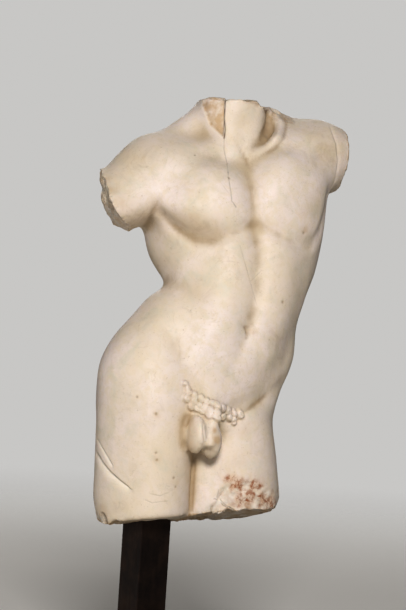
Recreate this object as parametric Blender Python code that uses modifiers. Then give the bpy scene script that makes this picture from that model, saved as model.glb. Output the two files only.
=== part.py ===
"""A broken marble torso of a standing youth, held up on a square post let into a low stone base.

Metres, +Z up. The figure's front looks along -Y, its right side is at -X.
The origin is the centre of the base's underside.

The body is modelled upright first, in body units, with 430 units from the pubis to the pit of the
neck. It is then bent along its spine into the pose, broken at the neck, arms and thighs, and scaled.
"""

import math

import bmesh
import bpy
import numpy as np
from mathutils import Euler, Vector

# Driving dimensions, in metres
TRUNK_LENGTH = 0.376  # pubis to the pit of the neck, along the body
POST_SIDE = 0.050
POST_EXPOSED = 0.170  # from the base to the underside of the thigh
POST_EDGE_RADIUS = 0.0015
POST_TENON = 0.015  # length of post let into the thigh
POST_FOOT = 0.030  # length of post let into the base
BASE_WIDTH = 0.360
BASE_DEPTH = 0.280
BASE_HEIGHT = 0.050
BASE_EDGE_RADIUS = 0.003
FIT_GAP = 0.0003
POST_X = -0.090  # where the post stands on the base
POST_Y = 0.000

# Body units
TRUNK_UNITS = 430
UNIT = TRUNK_LENGTH / TRUNK_UNITS

# Mesh fineness
REMESH_STEPS = (8.0, 6.0)  # body units
SETTLE_ROUNDS = 4
BREAK_STEP = 0.0035  # metres
TORSO_TRIANGLES = 9000

MARBLE = (0.80, 0.74, 0.64, 1.0)
POST_COLOUR = (0.020, 0.015, 0.013, 1.0)
BASE_COLOUR = (0.035, 0.033, 0.032, 1.0)

# Sections of the trunk: height, half width, reach to the front, reach to the back, squareness
TRUNK_STATIONS = (
    (-75, 84, 50, 68, 2.0),
    (-20, 136, 82, 88, 2.2),
    (30, 139, 92, 86, 2.2),
    (75, 130, 93, 78, 2.3),
    (115, 126, 92, 70, 2.3),
    (155, 118, 90, 68, 2.3),
    (205, 123, 88, 72, 2.4),
    (265, 136, 88, 82, 2.4),
    (325, 140, 86, 90, 2.4),
    (375, 131, 74, 88, 2.4),
    (415, 112, 58, 76, 2.2),
    (460, 64, 42, 60, 2.0),
)

# Swelling forms on both sides: centre, radii, turn in degrees, softness of the join
PAIRED_SWELLINGS = {
    "pectoral": ((75, -50, 342), (75, 46, 80), (5, 12, 22), 30),
    "deltoid": ((160, 4, 412), (48, 54, 66), (0, -14, 0), 20),
    "collar_hollow": ((88, -10, 426), (66, 40, 32), (0, -8, 0), 26),
    "latissimus": ((109, 26, 292), (40, 56, 90), (0, 4, 0), 30),
    "outer_hip": ((94, 12, 14), (44, 56, 64), (0, 0, 0), 36),
    "buttock": ((64, 48, -22), (68, 66, 74), (0, -8, 0), 24),
    "shoulder_blade": ((80, 64, 348), (48, 24, 60), (-8, 14, 0), 22),
    "teres": ((112, 38, 344), (34, 40, 56), (0, 30, 0), 30),
    "shoulder_front": ((114, -14, 410), (42, 42, 44), (0, -8, 0), 34),
}

# Swelling forms on the middle line
MIDDLE_SWELLINGS = {
    "lower_belly": ((0, -60, 62), (66, 34, 66), (0, 0, 0), 26),
    "mons": ((0, -68, -6), (40, 28, 34), (0, 0, 0), 22),
    "upper_back": ((0, 58, 398), (48, 30, 84), (0, 0, 0), 22),
}

# Swelling forms on one side
SINGLE_SWELLINGS = {
    "right_deltoid": ((-172, 6, 404), (48, 50, 62), (0, 24, 0), 24),
    "left_flank": ((106, 10, 124), (28, 52, 36), (0, 14, 0), 40),
    "left_hip": ((97, -10, 72), (26, 50, 36), (0, 0, 0), 36),
    "right_crest": ((-102, 4, 86), (33, 52, 58), (0, 14, 0), 44),
    "right_lobe": ((-17, -96, -61), (13, 26, 31), (0, -18, 0), 3),
    "left_lobe": ((13, -95, -60), (16, 25, 30), (0, -20, 0), 3),
}

# Tapered rods on both sides: ends, radius at each end, softness of the join
PAIRED_RODS = {
    "rectus": ((38, -60, 262), (38, -63, 120), 29, 29, 40),
    "pectoral_tail": ((104, -43, 350), (162, -9, 392), 34, 34, 22),
    "collar_bone": ((16, -42, 428), (140, -4, 452), 9, 12, 26),
    "trapezius": ((22, 24, 494), (134, 18, 448), 33, 26, 30),
    "neck_strap": ((12, -40, 432), (42, -12, 550), 8, 14, 26),
    "spinal_high": ((27, 54, 380), (28, 42, 160), 26, 26, 16),
    "spinal_low": ((28, 42, 160), (36, 48, 70), 26, 22, 16),
}

# Tapered rods on one side or in the middle
SINGLE_RODS = {
    "neck": ((-4, 10, 410), (8, -6, 570), 58, 56, 20),
    "right_arm": ((-156, 4, 398), (-259, 16, 350), 60, 81, 22),
    "left_arm": ((156, 4, 411), (260, 26, 386), 54, 52, 22),
    "right_thigh": ((-84, -2, 4), (24, -2, -301), 78, 71, 20),
    "left_thigh": ((63, -4, 4), (184, -14, -243), 82, 86, 20),
    "right_thigh_front": ((-76, -34, -30), (22, -38, -290), 48, 46, 30),
    "left_thigh_front": ((88, -36, -30), (170, -52, -240), 48, 44, 30),
    "shaft": ((0, -100, -20), (4, -114, -67), 11, 9, 4),
    "right_outer_thigh": ((-114, 6, 10), (-50, 8, -180), 42, 44, 34),
    "left_outer_thigh": ((94, 4, 10), (152, 0, -130), 38, 46, 34),
    "left_inner_thigh": ((40, -30, -60), (118, -44, -240), 36, 42, 10),
    "neck_fold_top": ((66, 6, 487), (75, -19, 472), 11, 11, 4),
    "neck_fold_middle": ((75, -19, 472), (59, -45, 447), 11, 10, 4),
    "neck_fold_end": ((59, -45, 447), (30, -52, 431), 10, 6, 8),
}

# Grooves pressed into both sides: route, depth, half width
PAIRED_GROOVES = {
    "under_pectoral": (
        ((4, -90, 300), (24, -96, 291), (50, -98, 280), (88, -88, 269), (112, -74, 276)),
        7,
        9,
    ),
    "beside_pectoral": (((112, -74, 276), (130, -60, 296), (144, -57, 315), (154, -54, 338)), 7, 9),
}

# Grooves pressed into one side
SINGLE_GROOVES = {
    "right_groin": (((-112, -50, 70), (-80, -90, 36), (-34, -104, -8)), 4, 13),
    "left_groin": (((124, -62, 92), (96, -84, 60), (56, -98, 16), (26, -100, -16)), 8, 14),
}

# Grooves on the middle line
MIDDLE_GROOVES = {
    "breast_bone": (((0, -82, 430), (0, -98, 350), (0, -92, 280)), 5, 13),
    "white_line": (((6, -92, 270), (9, -96, 205), (2, -98, 134)), 2.0, 11),
    "white_line_low": (((0, -98, 124), (0, -98, 50)), 1.5, 13),
    "spine": (((0, 88, 420), (0, 84, 300), (0, 66, 160), (0, 72, 80)), 7, 14),
}

# Pose along the spine: height, lean to the figure's left, lean backwards, turn, all in degrees
POSE_STATIONS = (
    (-400, 22, 1, 3),
    (-120, 22, 1, 3),
    (-20, 22, 2, 3),
    (60, 28, 2, 3),
    (125, 28, 4, 1),
    (190, 16, 4, -2),
    (270, 4, 6, -5),
    (360, -2, 8, -6),
    (440, 0, 4, -6),
    (560, 6, -6, -6),
)
SHOULDER_TILT = 8  # degrees, the left shoulder up and the right one down
FIGURE_TURN = -10  # degrees, the whole figure turned towards its right
FIGURE_LEAN = -3.7  # degrees, the whole figure tipped on its post, towards its right

# Breaks in the upright body: middle, way the limb runs, way the break faces, reach, roughness, bulge
BREAKS = {
    "neck": ((2, -4, 522), (0, 0, 1), (0.12, 0, 1), 110, 2.5, 0),
    "right_arm": ((-208, 10, 368), (-0.87, 0.1, -0.43), (-0.92, 0.30, -0.27), 175, 4.0, 14),
    "left_arm": ((190, 12, 400), (1, 0.1, -0.2), (1, 0.1, -0.1), 130, 1.5, 3),
    "right_thigh": ((4.2, 0, -216), (0.375, 0, -0.927), (0.328, 0.12, -0.927), 240, 3.0, 0),
    "left_thigh": ((137, -8, -157), (0.375, 0, -0.927), (0.375, -0.2, -0.927), 240, 3.0, 2),
}
BULGE_REACH = 66  # how far from its middle a break bulges
BULGE_REACH = 66  # how far from its middle a break bulges
NECK_STEP = (31, 508, 2.5)  # where the step is, its height, its roughness


def through(stations, column, heights):
    """The smooth curve through one column of a table of stations, read at these heights."""
    table = np.array(stations, float)
    knots, values = table[:, 0], table[:, column]
    slopes = np.gradient(values, knots)
    below = np.clip(np.searchsorted(knots, heights) - 1, 0, len(knots) - 2)
    step = knots[below + 1] - knots[below]
    t = np.clip((heights - knots[below]) / step, 0, 1)
    rise = values[below + 1] - values[below]
    return (
        values[below]
        + rise * t * t * (3 - 2 * t)
        + step * slopes[below] * t * (1 - t) ** 2
        - step * slopes[below + 1] * t * t * (1 - t)
    )


def joined(a, b, softness):
    """The union of two forms, with a fillet of this softness."""
    share = np.clip(0.5 + 0.5 * (b - a) / softness, 0, 1)
    return b * (1 - share) + a * share - softness * share * (1 - share)


def swelling(p, centre, radii, turn):
    """Distance to an ellipsoid, near its surface."""
    matrix = np.array(Euler([math.radians(a) for a in turn]).to_matrix())
    local = (p - np.array(centre, float)) @ matrix
    radii = np.array(radii, float)
    near = np.linalg.norm(local / radii, axis=1)
    return near * (near - 1) / np.maximum(np.linalg.norm(local / radii**2, axis=1), 1e-9)


def rod(p, start, end, start_radius, end_radius):
    """Distance to a tapered rod with round ends."""
    start, end = np.array(start, float), np.array(end, float)
    along = end - start
    t = np.clip((p - start) @ along / (along @ along), 0, 1)
    radius = start_radius + (end_radius - start_radius) * t
    return np.linalg.norm(p - start - t[:, None] * along, axis=1) - radius


def trunk(p):
    """Distance to the sections of the trunk, closed at both ends."""
    width, front, back, square = (through(TRUNK_STATIONS, i, p[:, 2]) for i in (1, 2, 3, 4))
    depth = np.where(p[:, 1] < 0, front, back)
    reach = np.hypot(p[:, 0], p[:, 1]) + 1e-6
    share = (np.abs(p[:, 0] / width) ** square + np.abs(p[:, 1] / depth) ** square) ** (1 / square)
    side = reach - reach / np.maximum(share, 1e-6)
    ends = np.maximum(TRUNK_STATIONS[0][0] - p[:, 2], p[:, 2] - TRUNK_STATIONS[-1][0])
    return -joined(-side, -ends, 20)


def near_route(p, route):
    """Distance to a line of straight stretches."""
    return np.min([rod(p, a, b, 0, 0) for a, b in zip(route, route[1:])], axis=0)


def body(p):
    """Distance to the upright body."""
    mirrored = p * np.array([1, 1, 1.0])
    mirrored[:, 0] = np.abs(p[:, 0])
    f = trunk(p)
    for start, end, r0, r1, softness in SINGLE_RODS.values():
        f = joined(f, rod(p, start, end, r0, r1), softness)
    for centre, radii, turn, softness in PAIRED_SWELLINGS.values():
        f = joined(f, swelling(mirrored, centre, radii, turn), softness)
    for centre, radii, turn, softness in (*MIDDLE_SWELLINGS.values(), *SINGLE_SWELLINGS.values()):
        f = joined(f, swelling(p, centre, radii, turn), softness)
    for start, end, r0, r1, softness in PAIRED_RODS.values():
        f = joined(f, rod(mirrored, start, end, r0, r1), softness)
    for route, depth, width in PAIRED_GROOVES.values():
        f = f + depth * np.exp(-((near_route(mirrored, route) / width) ** 2))
    for route, depth, width in (*MIDDLE_GROOVES.values(), *SINGLE_GROOVES.values()):
        f = f + depth * np.exp(-((near_route(p, route) / width) ** 2))
    return f


def settle(p, field):
    """Moves each point straight onto the surface where the field is nil."""
    probe = 0.5
    value = field(p)
    slope = np.stack([(field(p + probe * axis) - value) / probe for axis in np.eye(3)], axis=1)
    steep = np.maximum((slope**2).sum(1), 0.05)
    move = -slope * (value / steep)[:, None]
    length = np.linalg.norm(move, axis=1)
    return p + move * np.minimum(1, 8 / np.maximum(length, 1e-9))[:, None]


def coordinates(mesh):
    flat = np.empty(len(mesh.vertices) * 3, np.float32)
    mesh.vertices.foreach_get("co", flat)
    return flat.reshape(-1, 3).astype(float)


def set_coordinates(mesh, p):
    mesh.vertices.foreach_set("co", p.astype(np.float32).ravel())
    mesh.update()


def add_ball(bm, centre, radii, turn=(0, 0, 0)):
    made = bmesh.ops.create_icosphere(bm, subdivisions=3, radius=1)["verts"]
    bmesh.ops.scale(bm, verts=made, vec=radii)
    matrix = Euler([math.radians(a) for a in turn]).to_matrix()
    bmesh.ops.rotate(bm, verts=made, cent=(0, 0, 0), matrix=matrix)
    bmesh.ops.translate(bm, verts=made, vec=centre)


def add_rod(bm, start, end, start_radius, end_radius):
    balls = 12
    for i in range(balls + 1):
        t = i / balls
        centre = Vector(start).lerp(Vector(end), t)
        radius = start_radius + (end_radius - start_radius) * t
        add_ball(bm, centre, (radius,) * 3)


def mirror_of(point):
    return (-point[0], point[1], point[2])


def rough_body():
    """The main masses as overlapping balls, joined into one skin by a voxel remesh."""
    bm = bmesh.new()
    spacing = 12
    for height in range(TRUNK_STATIONS[0][0] + spacing, TRUNK_STATIONS[-1][0], spacing):
        at = np.array([float(height)])
        width, front, back = (float(through(TRUNK_STATIONS, i, at)[0]) for i in (1, 2, 3))
        add_ball(bm, (0, (back - front) / 2, height), (width, (front + back) / 2, 16))
    for start, end, r0, r1, _ in SINGLE_RODS.values():
        add_rod(bm, start, end, r0, r1)
    for name in ("deltoid", "pectoral", "buttock", "outer_hip", "latissimus"):
        centre, radii, turn, _ = PAIRED_SWELLINGS[name]
        add_ball(bm, centre, radii, turn)
        add_ball(bm, mirror_of(centre), radii, (turn[0], -turn[1], -turn[2]))
    for name in ("right_lobe", "left_lobe"):
        centre, radii, turn, _ = SINGLE_SWELLINGS[name]
        add_ball(bm, centre, radii, turn)
    start, end, r0, r1, _ = PAIRED_RODS["trapezius"]
    add_rod(bm, start, end, r0, r1)
    add_rod(bm, mirror_of(start), mirror_of(end), r0, r1)
    return bm


def remeshed(obj, step):
    modifier = obj.modifiers.new("one skin", "REMESH")
    modifier.mode = "VOXEL"
    modifier.voxel_size = step
    apply_modifiers(obj)


def apply_modifiers(obj):
    graph = bpy.context.evaluated_depsgraph_get()
    mesh = bpy.data.meshes.new_from_object(obj.evaluated_get(graph))
    obj.modifiers.clear()
    obj.data = mesh


def relax(mesh, rounds):
    bm = bmesh.new()
    bm.from_mesh(mesh)
    for _ in range(rounds):
        bmesh.ops.smooth_vert(
            bm, verts=bm.verts, factor=0.5, use_axis_x=True, use_axis_y=True, use_axis_z=True
        )
    bm.to_mesh(mesh)
    bm.free()


def posed(p):
    """Tilts the shoulders and bends the upright body along its spine."""
    raised = np.clip((p[:, 2] - 280) / 110, 0, 1)
    lift = np.tan(math.radians(SHOULDER_TILT)) * raised * raised * (3 - 2 * raised)
    p = p + lift[:, None] * p[:, :1] * np.array([0, 0, 1.0])
    fine = np.arange(POSE_STATIONS[0][0], POSE_STATIONS[-1][0] + 1, 1.0)
    lean, back, turn = (
        np.radians(through(POSE_STATIONS, i, fine)) for i in (1, 2, 3)
    )
    tangent = np.stack(
        [np.sin(lean) * np.cos(back), np.sin(back), np.cos(lean) * np.cos(back)], axis=1
    )
    route = np.cumsum(tangent, axis=0)
    route -= route[np.searchsorted(fine, 0)]
    z = p[:, 2]
    origin = np.stack([np.interp(z, fine, route[:, i]) for i in range(3)], axis=1)
    over = z - np.clip(z, fine[0], fine[-1])
    lean, back, turn = (np.interp(z, fine, angle) for angle in (lean, back, turn))
    # local axes of each section: across, then to the back
    along = np.stack([np.sin(lean) * np.cos(back), np.sin(back), np.cos(lean) * np.cos(back)], axis=1)
    across = np.stack([np.cos(lean), np.zeros_like(lean), -np.sin(lean)], axis=1)
    behind = np.cross(along, across)
    x = p[:, 0] * np.cos(turn) - p[:, 1] * np.sin(turn)
    y = p[:, 0] * np.sin(turn) + p[:, 1] * np.cos(turn)
    return origin + across * x[:, None] + behind * y[:, None] + along * over[:, None]


def grain(p, size):
    """Smooth noise from -1 to 1, from a lattice of hashed values."""
    cell = np.floor(p / size)
    t = p / size - cell
    t = t * t * (3 - 2 * t)
    total = np.zeros(len(p))
    for corner in np.ndindex(2, 2, 2):
        key = (cell + corner) @ np.array([12.9898, 78.233, 37.719])
        value = np.modf(np.abs(np.sin(key) * 43758.5453))[0] * 2 - 1
        weight = np.prod(np.where(np.array(corner) == 1, t, 1 - t), axis=1)
        total += value * weight
    return total


def broken(p):
    """Flattens what lies past each break onto a rough face."""
    p = p.copy()
    for middle, runs, faces, reach, rough, bulge in BREAKS.values():
        middle, runs, faces = (np.array(v, float) for v in (middle, runs, faces))
        runs, faces = runs / np.linalg.norm(runs), faces / np.linalg.norm(faces)
        near = np.linalg.norm(p - middle, axis=1) < reach
        flat = p - runs * (((p - middle) @ faces) / (runs @ faces))[:, None]
        face = rough * (grain(flat, 34.0) + 0.5 * grain(flat, 13.0))
        face += bulge * np.clip(1 - (np.linalg.norm(flat - middle, axis=1) / BULGE_REACH) ** 2, 0, 1)
        past = (p - middle) @ faces - face
        cut = near & (past > 0)
        p[cut] -= runs * (past[cut] / (runs @ faces))[:, None]
    return stepped(p)


def stepped(p):
    """Lowers the left part of the neck's break by a step."""
    side, top, rough = NECK_STEP
    share = np.clip((p[:, 0] + 2 * grain(p, 9.0) - side) / 3, 0, 1)
    over = p[:, 2] - top - rough * grain(p * np.array([1, 1, 0.0]), 11.0)
    p[:, 2] -= np.where((over > 0) & (p[:, 2] > top - 10), over * share, 0)
    return p


def material(name, colour, roughness, metallic=0.0):
    made = bpy.data.materials.new(name)
    made.use_nodes = True
    shader = made.node_tree.nodes["Principled BSDF"]
    shader.inputs["Base Color"].default_value = colour
    shader.inputs["Roughness"].default_value = roughness
    shader.inputs["Metallic"].default_value = metallic
    made.diffuse_color = colour
    return made


def new_object(name, mesh, collection):
    obj = bpy.data.objects.new(name, mesh)
    collection.objects.link(obj)
    return obj


def cut_away(obj, cutter):
    cutter.hide_render = True
    cutter.display_type = "WIRE"
    modifier = obj.modifiers.new("cut", "BOOLEAN")
    modifier.operation = "DIFFERENCE"
    modifier.solver = "EXACT"
    modifier.object = cutter


def make_torso(parts, cutters):
    mesh = bpy.data.meshes.new("torso")
    bm = rough_body()
    bm.to_mesh(mesh)
    bm.free()
    torso = new_object("torso", mesh, parts)
    for step in REMESH_STEPS:
        remeshed(torso, step)
        for _ in range(SETTLE_ROUNDS):
            set_coordinates(torso.data, settle(coordinates(torso.data), body))
            relax(torso.data, 1)
    for _ in range(2):
        set_coordinates(torso.data, settle(coordinates(torso.data), body))
    set_coordinates(torso.data, placed(posed(broken(coordinates(torso.data)))))
    remeshed(torso, BREAK_STEP)
    relax(torso.data, 1)
    thin_out(torso, TORSO_TRIANGLES)
    cut_seat(torso, cutters)
    torso.data.materials.append(material("marble", MARBLE, 0.45))


def thin_out(obj, triangles):
    obj.data.calc_loop_triangles()
    modifier = obj.modifiers.new("fewer triangles", "DECIMATE")
    modifier.ratio = triangles / len(obj.data.loop_triangles)
    apply_modifiers(obj)


def placed(p):
    """Body units to metres, with the middle of the right thigh's break over the post."""
    turn, lean = math.radians(FIGURE_TURN), math.radians(FIGURE_LEAN)
    thigh = posed(np.array([BREAKS["right_thigh"][0]], float))[0]
    p = (p - thigh) * UNIT
    x = p[:, 0] * math.cos(lean) + p[:, 2] * math.sin(lean)
    z = p[:, 2] * math.cos(lean) - p[:, 0] * math.sin(lean)
    foot = np.array([POST_X, POST_Y, BASE_HEIGHT + POST_EXPOSED])
    return foot + np.stack(
        [
            x * math.cos(turn) - p[:, 1] * math.sin(turn),
            x * math.sin(turn) + p[:, 1] * math.cos(turn),
            z,
        ],
        axis=1,
    )


def make_block(name, size, centre, edge, collection):
    """A square-cornered block with slightly rounded edges."""
    bm = bmesh.new()
    made = bmesh.ops.create_cube(bm, size=1)["verts"]
    bmesh.ops.scale(bm, verts=made, vec=size)
    bmesh.ops.translate(bm, verts=made, vec=centre)
    if edge:
        bmesh.ops.bevel(
            bm, geom=bm.edges[:], offset=edge, segments=3, profile=0.5, affect="EDGES"
        )
    mesh = bpy.data.meshes.new(name)
    bm.to_mesh(mesh)
    bm.free()
    return new_object(name, mesh, collection)


def make_post(parts):
    bottom = BASE_HEIGHT - POST_FOOT
    top = BASE_HEIGHT + POST_EXPOSED + POST_TENON
    post = make_block(
        "support_post",
        (POST_SIDE, POST_SIDE, top - bottom),
        (POST_X, POST_Y, (top + bottom) / 2),
        POST_EDGE_RADIUS,
        parts,
    )
    post.data.materials.append(material("dark_bronze", POST_COLOUR, 0.5, 1.0))


def make_base(parts, cutters):
    base = make_block(
        "base_block",
        (BASE_WIDTH, BASE_DEPTH, BASE_HEIGHT),
        (0, 0, BASE_HEIGHT / 2),
        BASE_EDGE_RADIUS,
        parts,
    )
    side = POST_SIDE + 2 * FIT_GAP
    depth = POST_FOOT + FIT_GAP
    socket = make_block(
        "post_socket",
        (side, side, 2 * depth),
        (POST_X, POST_Y, BASE_HEIGHT),
        0,
        cutters,
    )
    cut_away(base, socket)
    base.data.materials.append(material("dark_stone", BASE_COLOUR, 0.4))


def cut_seat(torso, cutters):
    """The square seat in the underside of the right thigh that takes the top of the post."""
    side = POST_SIDE + 2 * FIT_GAP
    top = BASE_HEIGHT + POST_EXPOSED + POST_TENON + FIT_GAP
    reach = 0.05
    seat = make_block(
        "post_seat", (side, side, reach), (POST_X, POST_Y, top - reach / 2), 0, cutters
    )
    cut_away(torso, seat)


def main():
    for obj in list(bpy.data.objects):
        bpy.data.objects.remove(obj)
    parts = bpy.data.collections.new("marble torso")
    cutters = bpy.data.collections.new("cutters")
    for collection in (parts, cutters):
        bpy.context.scene.collection.children.link(collection)
    make_torso(parts, cutters)
    make_post(parts)
    make_base(parts, cutters)


main()
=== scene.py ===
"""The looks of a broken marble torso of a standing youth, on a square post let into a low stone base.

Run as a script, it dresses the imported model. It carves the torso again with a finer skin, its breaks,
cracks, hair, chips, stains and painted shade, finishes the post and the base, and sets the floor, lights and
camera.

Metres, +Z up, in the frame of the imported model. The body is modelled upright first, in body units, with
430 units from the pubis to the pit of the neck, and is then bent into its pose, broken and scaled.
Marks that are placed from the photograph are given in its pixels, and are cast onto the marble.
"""

import math

import bmesh
import bpy
import numpy as np
from mathutils import Euler, Matrix, Vector
from mathutils.bvhtree import BVHTree


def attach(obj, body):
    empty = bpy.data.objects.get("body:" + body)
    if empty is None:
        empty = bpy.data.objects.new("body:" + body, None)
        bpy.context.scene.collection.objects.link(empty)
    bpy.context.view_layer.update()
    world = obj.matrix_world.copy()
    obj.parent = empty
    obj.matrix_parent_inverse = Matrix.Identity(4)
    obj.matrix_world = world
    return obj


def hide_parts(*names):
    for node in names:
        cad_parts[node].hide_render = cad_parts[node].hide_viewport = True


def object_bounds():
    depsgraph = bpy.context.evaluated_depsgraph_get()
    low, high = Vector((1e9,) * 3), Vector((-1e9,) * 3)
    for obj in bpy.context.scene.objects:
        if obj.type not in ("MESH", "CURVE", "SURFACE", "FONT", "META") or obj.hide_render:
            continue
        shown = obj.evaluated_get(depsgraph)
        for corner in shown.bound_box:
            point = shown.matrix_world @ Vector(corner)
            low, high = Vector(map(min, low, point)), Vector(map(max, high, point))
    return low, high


bl_info = {
    "name": "Marble torso",
    "version": (1, 0, 0),
    "blender": (4, 5, 0),
    "location": "3D View > Sidebar > Torso",
    "description": "Carves a broken marble torso and finishes its post and base",
    "category": "Object",
}

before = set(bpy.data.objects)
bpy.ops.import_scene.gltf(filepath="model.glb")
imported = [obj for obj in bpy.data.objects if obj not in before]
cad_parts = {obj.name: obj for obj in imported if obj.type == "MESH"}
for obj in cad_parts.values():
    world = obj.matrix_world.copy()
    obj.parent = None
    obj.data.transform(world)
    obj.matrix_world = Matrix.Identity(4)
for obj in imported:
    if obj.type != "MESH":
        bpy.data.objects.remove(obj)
CAD_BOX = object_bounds()

# The size of the body and where it stands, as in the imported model
TRUNK_LENGTH = 0.376
TRUNK_UNITS = 430
UNIT = TRUNK_LENGTH / TRUNK_UNITS
BASE_HEIGHT = 0.050
POST_EXPOSED = 0.170
POST_X = -0.090
POST_Y = 0.000

# Sections of the trunk: height, half width, reach to the front, reach to the back, squareness
TRUNK_STATIONS = (
    (-75, 84, 50, 68, 2.0),
    (-20, 136, 82, 88, 2.2),
    (30, 139, 92, 86, 2.2),
    (75, 130, 93, 78, 2.3),
    (115, 126, 92, 70, 2.3),
    (155, 118, 90, 68, 2.3),
    (205, 123, 88, 72, 2.4),
    (265, 136, 88, 82, 2.4),
    (325, 140, 86, 90, 2.4),
    (375, 131, 74, 88, 2.4),
    (415, 112, 58, 76, 2.2),
    (460, 64, 42, 60, 2.0),
)

# Swelling forms on both sides: centre, radii, turn in degrees, softness of the join
PAIRED_SWELLINGS = {
    "pectoral": ((75, -50, 342), (75, 46, 80), (5, 12, 22), 30),
    "deltoid": ((160, 4, 412), (48, 54, 66), (0, -14, 0), 20),
    "collar_hollow": ((88, -10, 426), (66, 40, 32), (0, -8, 0), 26),
    "latissimus": ((109, 26, 292), (40, 56, 90), (0, 4, 0), 30),
    "outer_hip": ((94, 12, 14), (44, 56, 64), (0, 0, 0), 36),
    "buttock": ((64, 48, -22), (68, 66, 74), (0, -8, 0), 24),
    "shoulder_blade": ((80, 64, 348), (48, 24, 60), (-8, 14, 0), 22),
    "teres": ((112, 38, 344), (34, 40, 56), (0, 30, 0), 30),
    "shoulder_front": ((114, -14, 410), (42, 42, 44), (0, -8, 0), 34),
}

# Swelling forms on the middle line
MIDDLE_SWELLINGS = {
    "lower_belly": ((0, -60, 62), (66, 34, 66), (0, 0, 0), 26),
    "mons": ((0, -68, -6), (40, 28, 34), (0, 0, 0), 22),
    "upper_back": ((0, 58, 398), (48, 30, 84), (0, 0, 0), 22),
}

# Swelling forms on one side
SINGLE_SWELLINGS = {
    "right_deltoid": ((-172, 6, 404), (48, 50, 62), (0, 24, 0), 24),
    "left_flank": ((106, 10, 124), (28, 52, 36), (0, 14, 0), 40),
    "left_hip": ((97, -10, 72), (26, 50, 36), (0, 0, 0), 36),
    "right_crest": ((-102, 4, 86), (33, 52, 58), (0, 14, 0), 44),
    "right_lobe": ((-17, -96, -61), (13, 26, 31), (0, -18, 0), 3),
    "left_lobe": ((13, -95, -60), (16, 25, 30), (0, -20, 0), 3),
}

# Tapered rods on both sides: ends, radius at each end, softness of the join
PAIRED_RODS = {
    "rectus": ((38, -60, 262), (38, -63, 120), 29, 29, 40),
    "pectoral_tail": ((104, -43, 350), (162, -9, 392), 34, 34, 22),
    "collar_bone": ((16, -42, 428), (140, -4, 452), 9, 12, 26),
    "trapezius": ((22, 24, 494), (134, 18, 448), 33, 26, 30),
    "neck_strap": ((12, -40, 432), (42, -12, 550), 8, 14, 26),
    "spinal_high": ((27, 54, 380), (28, 42, 160), 26, 26, 16),
    "spinal_low": ((28, 42, 160), (36, 48, 70), 26, 22, 16),
}

# Tapered rods on one side or in the middle
SINGLE_RODS = {
    "neck": ((-4, 10, 410), (8, -6, 570), 58, 56, 20),
    "right_arm": ((-156, 4, 398), (-259, 16, 350), 60, 81, 22),
    "left_arm": ((156, 4, 411), (260, 26, 386), 54, 52, 22),
    "right_thigh": ((-84, -2, 4), (24, -2, -301), 78, 71, 20),
    "left_thigh": ((63, -4, 4), (184, -14, -243), 82, 86, 20),
    "right_thigh_front": ((-76, -34, -30), (22, -38, -290), 48, 46, 30),
    "left_thigh_front": ((88, -36, -30), (170, -52, -240), 48, 44, 30),
    "shaft": ((0, -100, -20), (4, -114, -67), 11, 9, 4),
    "right_outer_thigh": ((-114, 6, 10), (-50, 8, -180), 42, 44, 34),
    "left_outer_thigh": ((94, 4, 10), (152, 0, -130), 38, 46, 34),
    "left_inner_thigh": ((40, -30, -60), (118, -44, -240), 36, 42, 10),
    "neck_fold_top": ((66, 6, 487), (75, -19, 472), 11, 11, 4),
    "neck_fold_middle": ((75, -19, 472), (59, -45, 447), 11, 10, 4),
    "neck_fold_end": ((59, -45, 447), (30, -52, 431), 10, 6, 8),
}

# Grooves pressed into both sides: route, depth, half width
PAIRED_GROOVES = {
    "under_pectoral": (
        ((4, -90, 300), (24, -96, 291), (50, -98, 280), (88, -88, 269), (112, -74, 276)),
        7,
        9,
    ),
    "beside_pectoral": (((112, -74, 276), (130, -60, 296), (144, -57, 315), (154, -54, 338)), 7, 9),
}

# Grooves pressed into one side
SINGLE_GROOVES = {
    "right_groin": (((-112, -50, 70), (-80, -90, 36), (-34, -104, -8)), 4, 13),
    "left_groin": (((124, -62, 92), (96, -84, 60), (56, -98, 16), (26, -100, -16)), 8, 14),
}

# Grooves on the middle line
MIDDLE_GROOVES = {
    "breast_bone": (((0, -82, 430), (0, -98, 350), (0, -92, 280)), 5, 13),
    "white_line": (((6, -92, 270), (9, -96, 205), (2, -98, 134)), 2.0, 11),
    "white_line_low": (((0, -98, 124), (0, -98, 50)), 1.5, 13),
    "spine": (((0, 88, 420), (0, 84, 300), (0, 66, 160), (0, 72, 80)), 7, 14),
}

# Pose along the spine: height, lean to the figure's left, lean backwards, turn, all in degrees
POSE_STATIONS = (
    (-400, 22, 1, 3),
    (-120, 22, 1, 3),
    (-20, 22, 2, 3),
    (60, 28, 2, 3),
    (125, 28, 4, 1),
    (190, 16, 4, -2),
    (270, 4, 6, -5),
    (360, -2, 8, -6),
    (440, 0, 4, -6),
    (560, 6, -6, -6),
)
SHOULDER_TILT = 8
TILT_START = 280  # the height at which the tilt sets in
TILT_RANGE = 110  # how far above it the tilt is full
FIGURE_TURN = -10
FIGURE_LEAN = -3.7

# Breaks in the upright body: middle, way the limb runs, way the break faces, reach, roughness, bulge
BREAKS = {
    "neck": ((2, -4, 522), (0, 0, 1), (0.12, 0, 1), 110, 2.5, 0),
    "right_arm": ((-208, 10, 368), (-0.87, 0.1, -0.43), (-0.92, 0.30, -0.27), 175, 4.0, 14),
    "left_arm": ((190, 12, 400), (1, 0.1, -0.2), (1, 0.1, -0.1), 130, 1.5, 3),
    "right_thigh": ((4.2, 0, -216), (0.375, 0, -0.927), (0.328, 0.12, -0.927), 240, 3.0, 0),
    "left_thigh": ((137, -8, -157), (0.375, 0, -0.927), (0.375, -0.2, -0.927), 240, 3.0, 2),
}
BULGE_REACH = 66  # how far from its middle a break bulges
NECK_STEP = (31, 508, 2.5)  # where the step is, its height, its roughness

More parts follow.
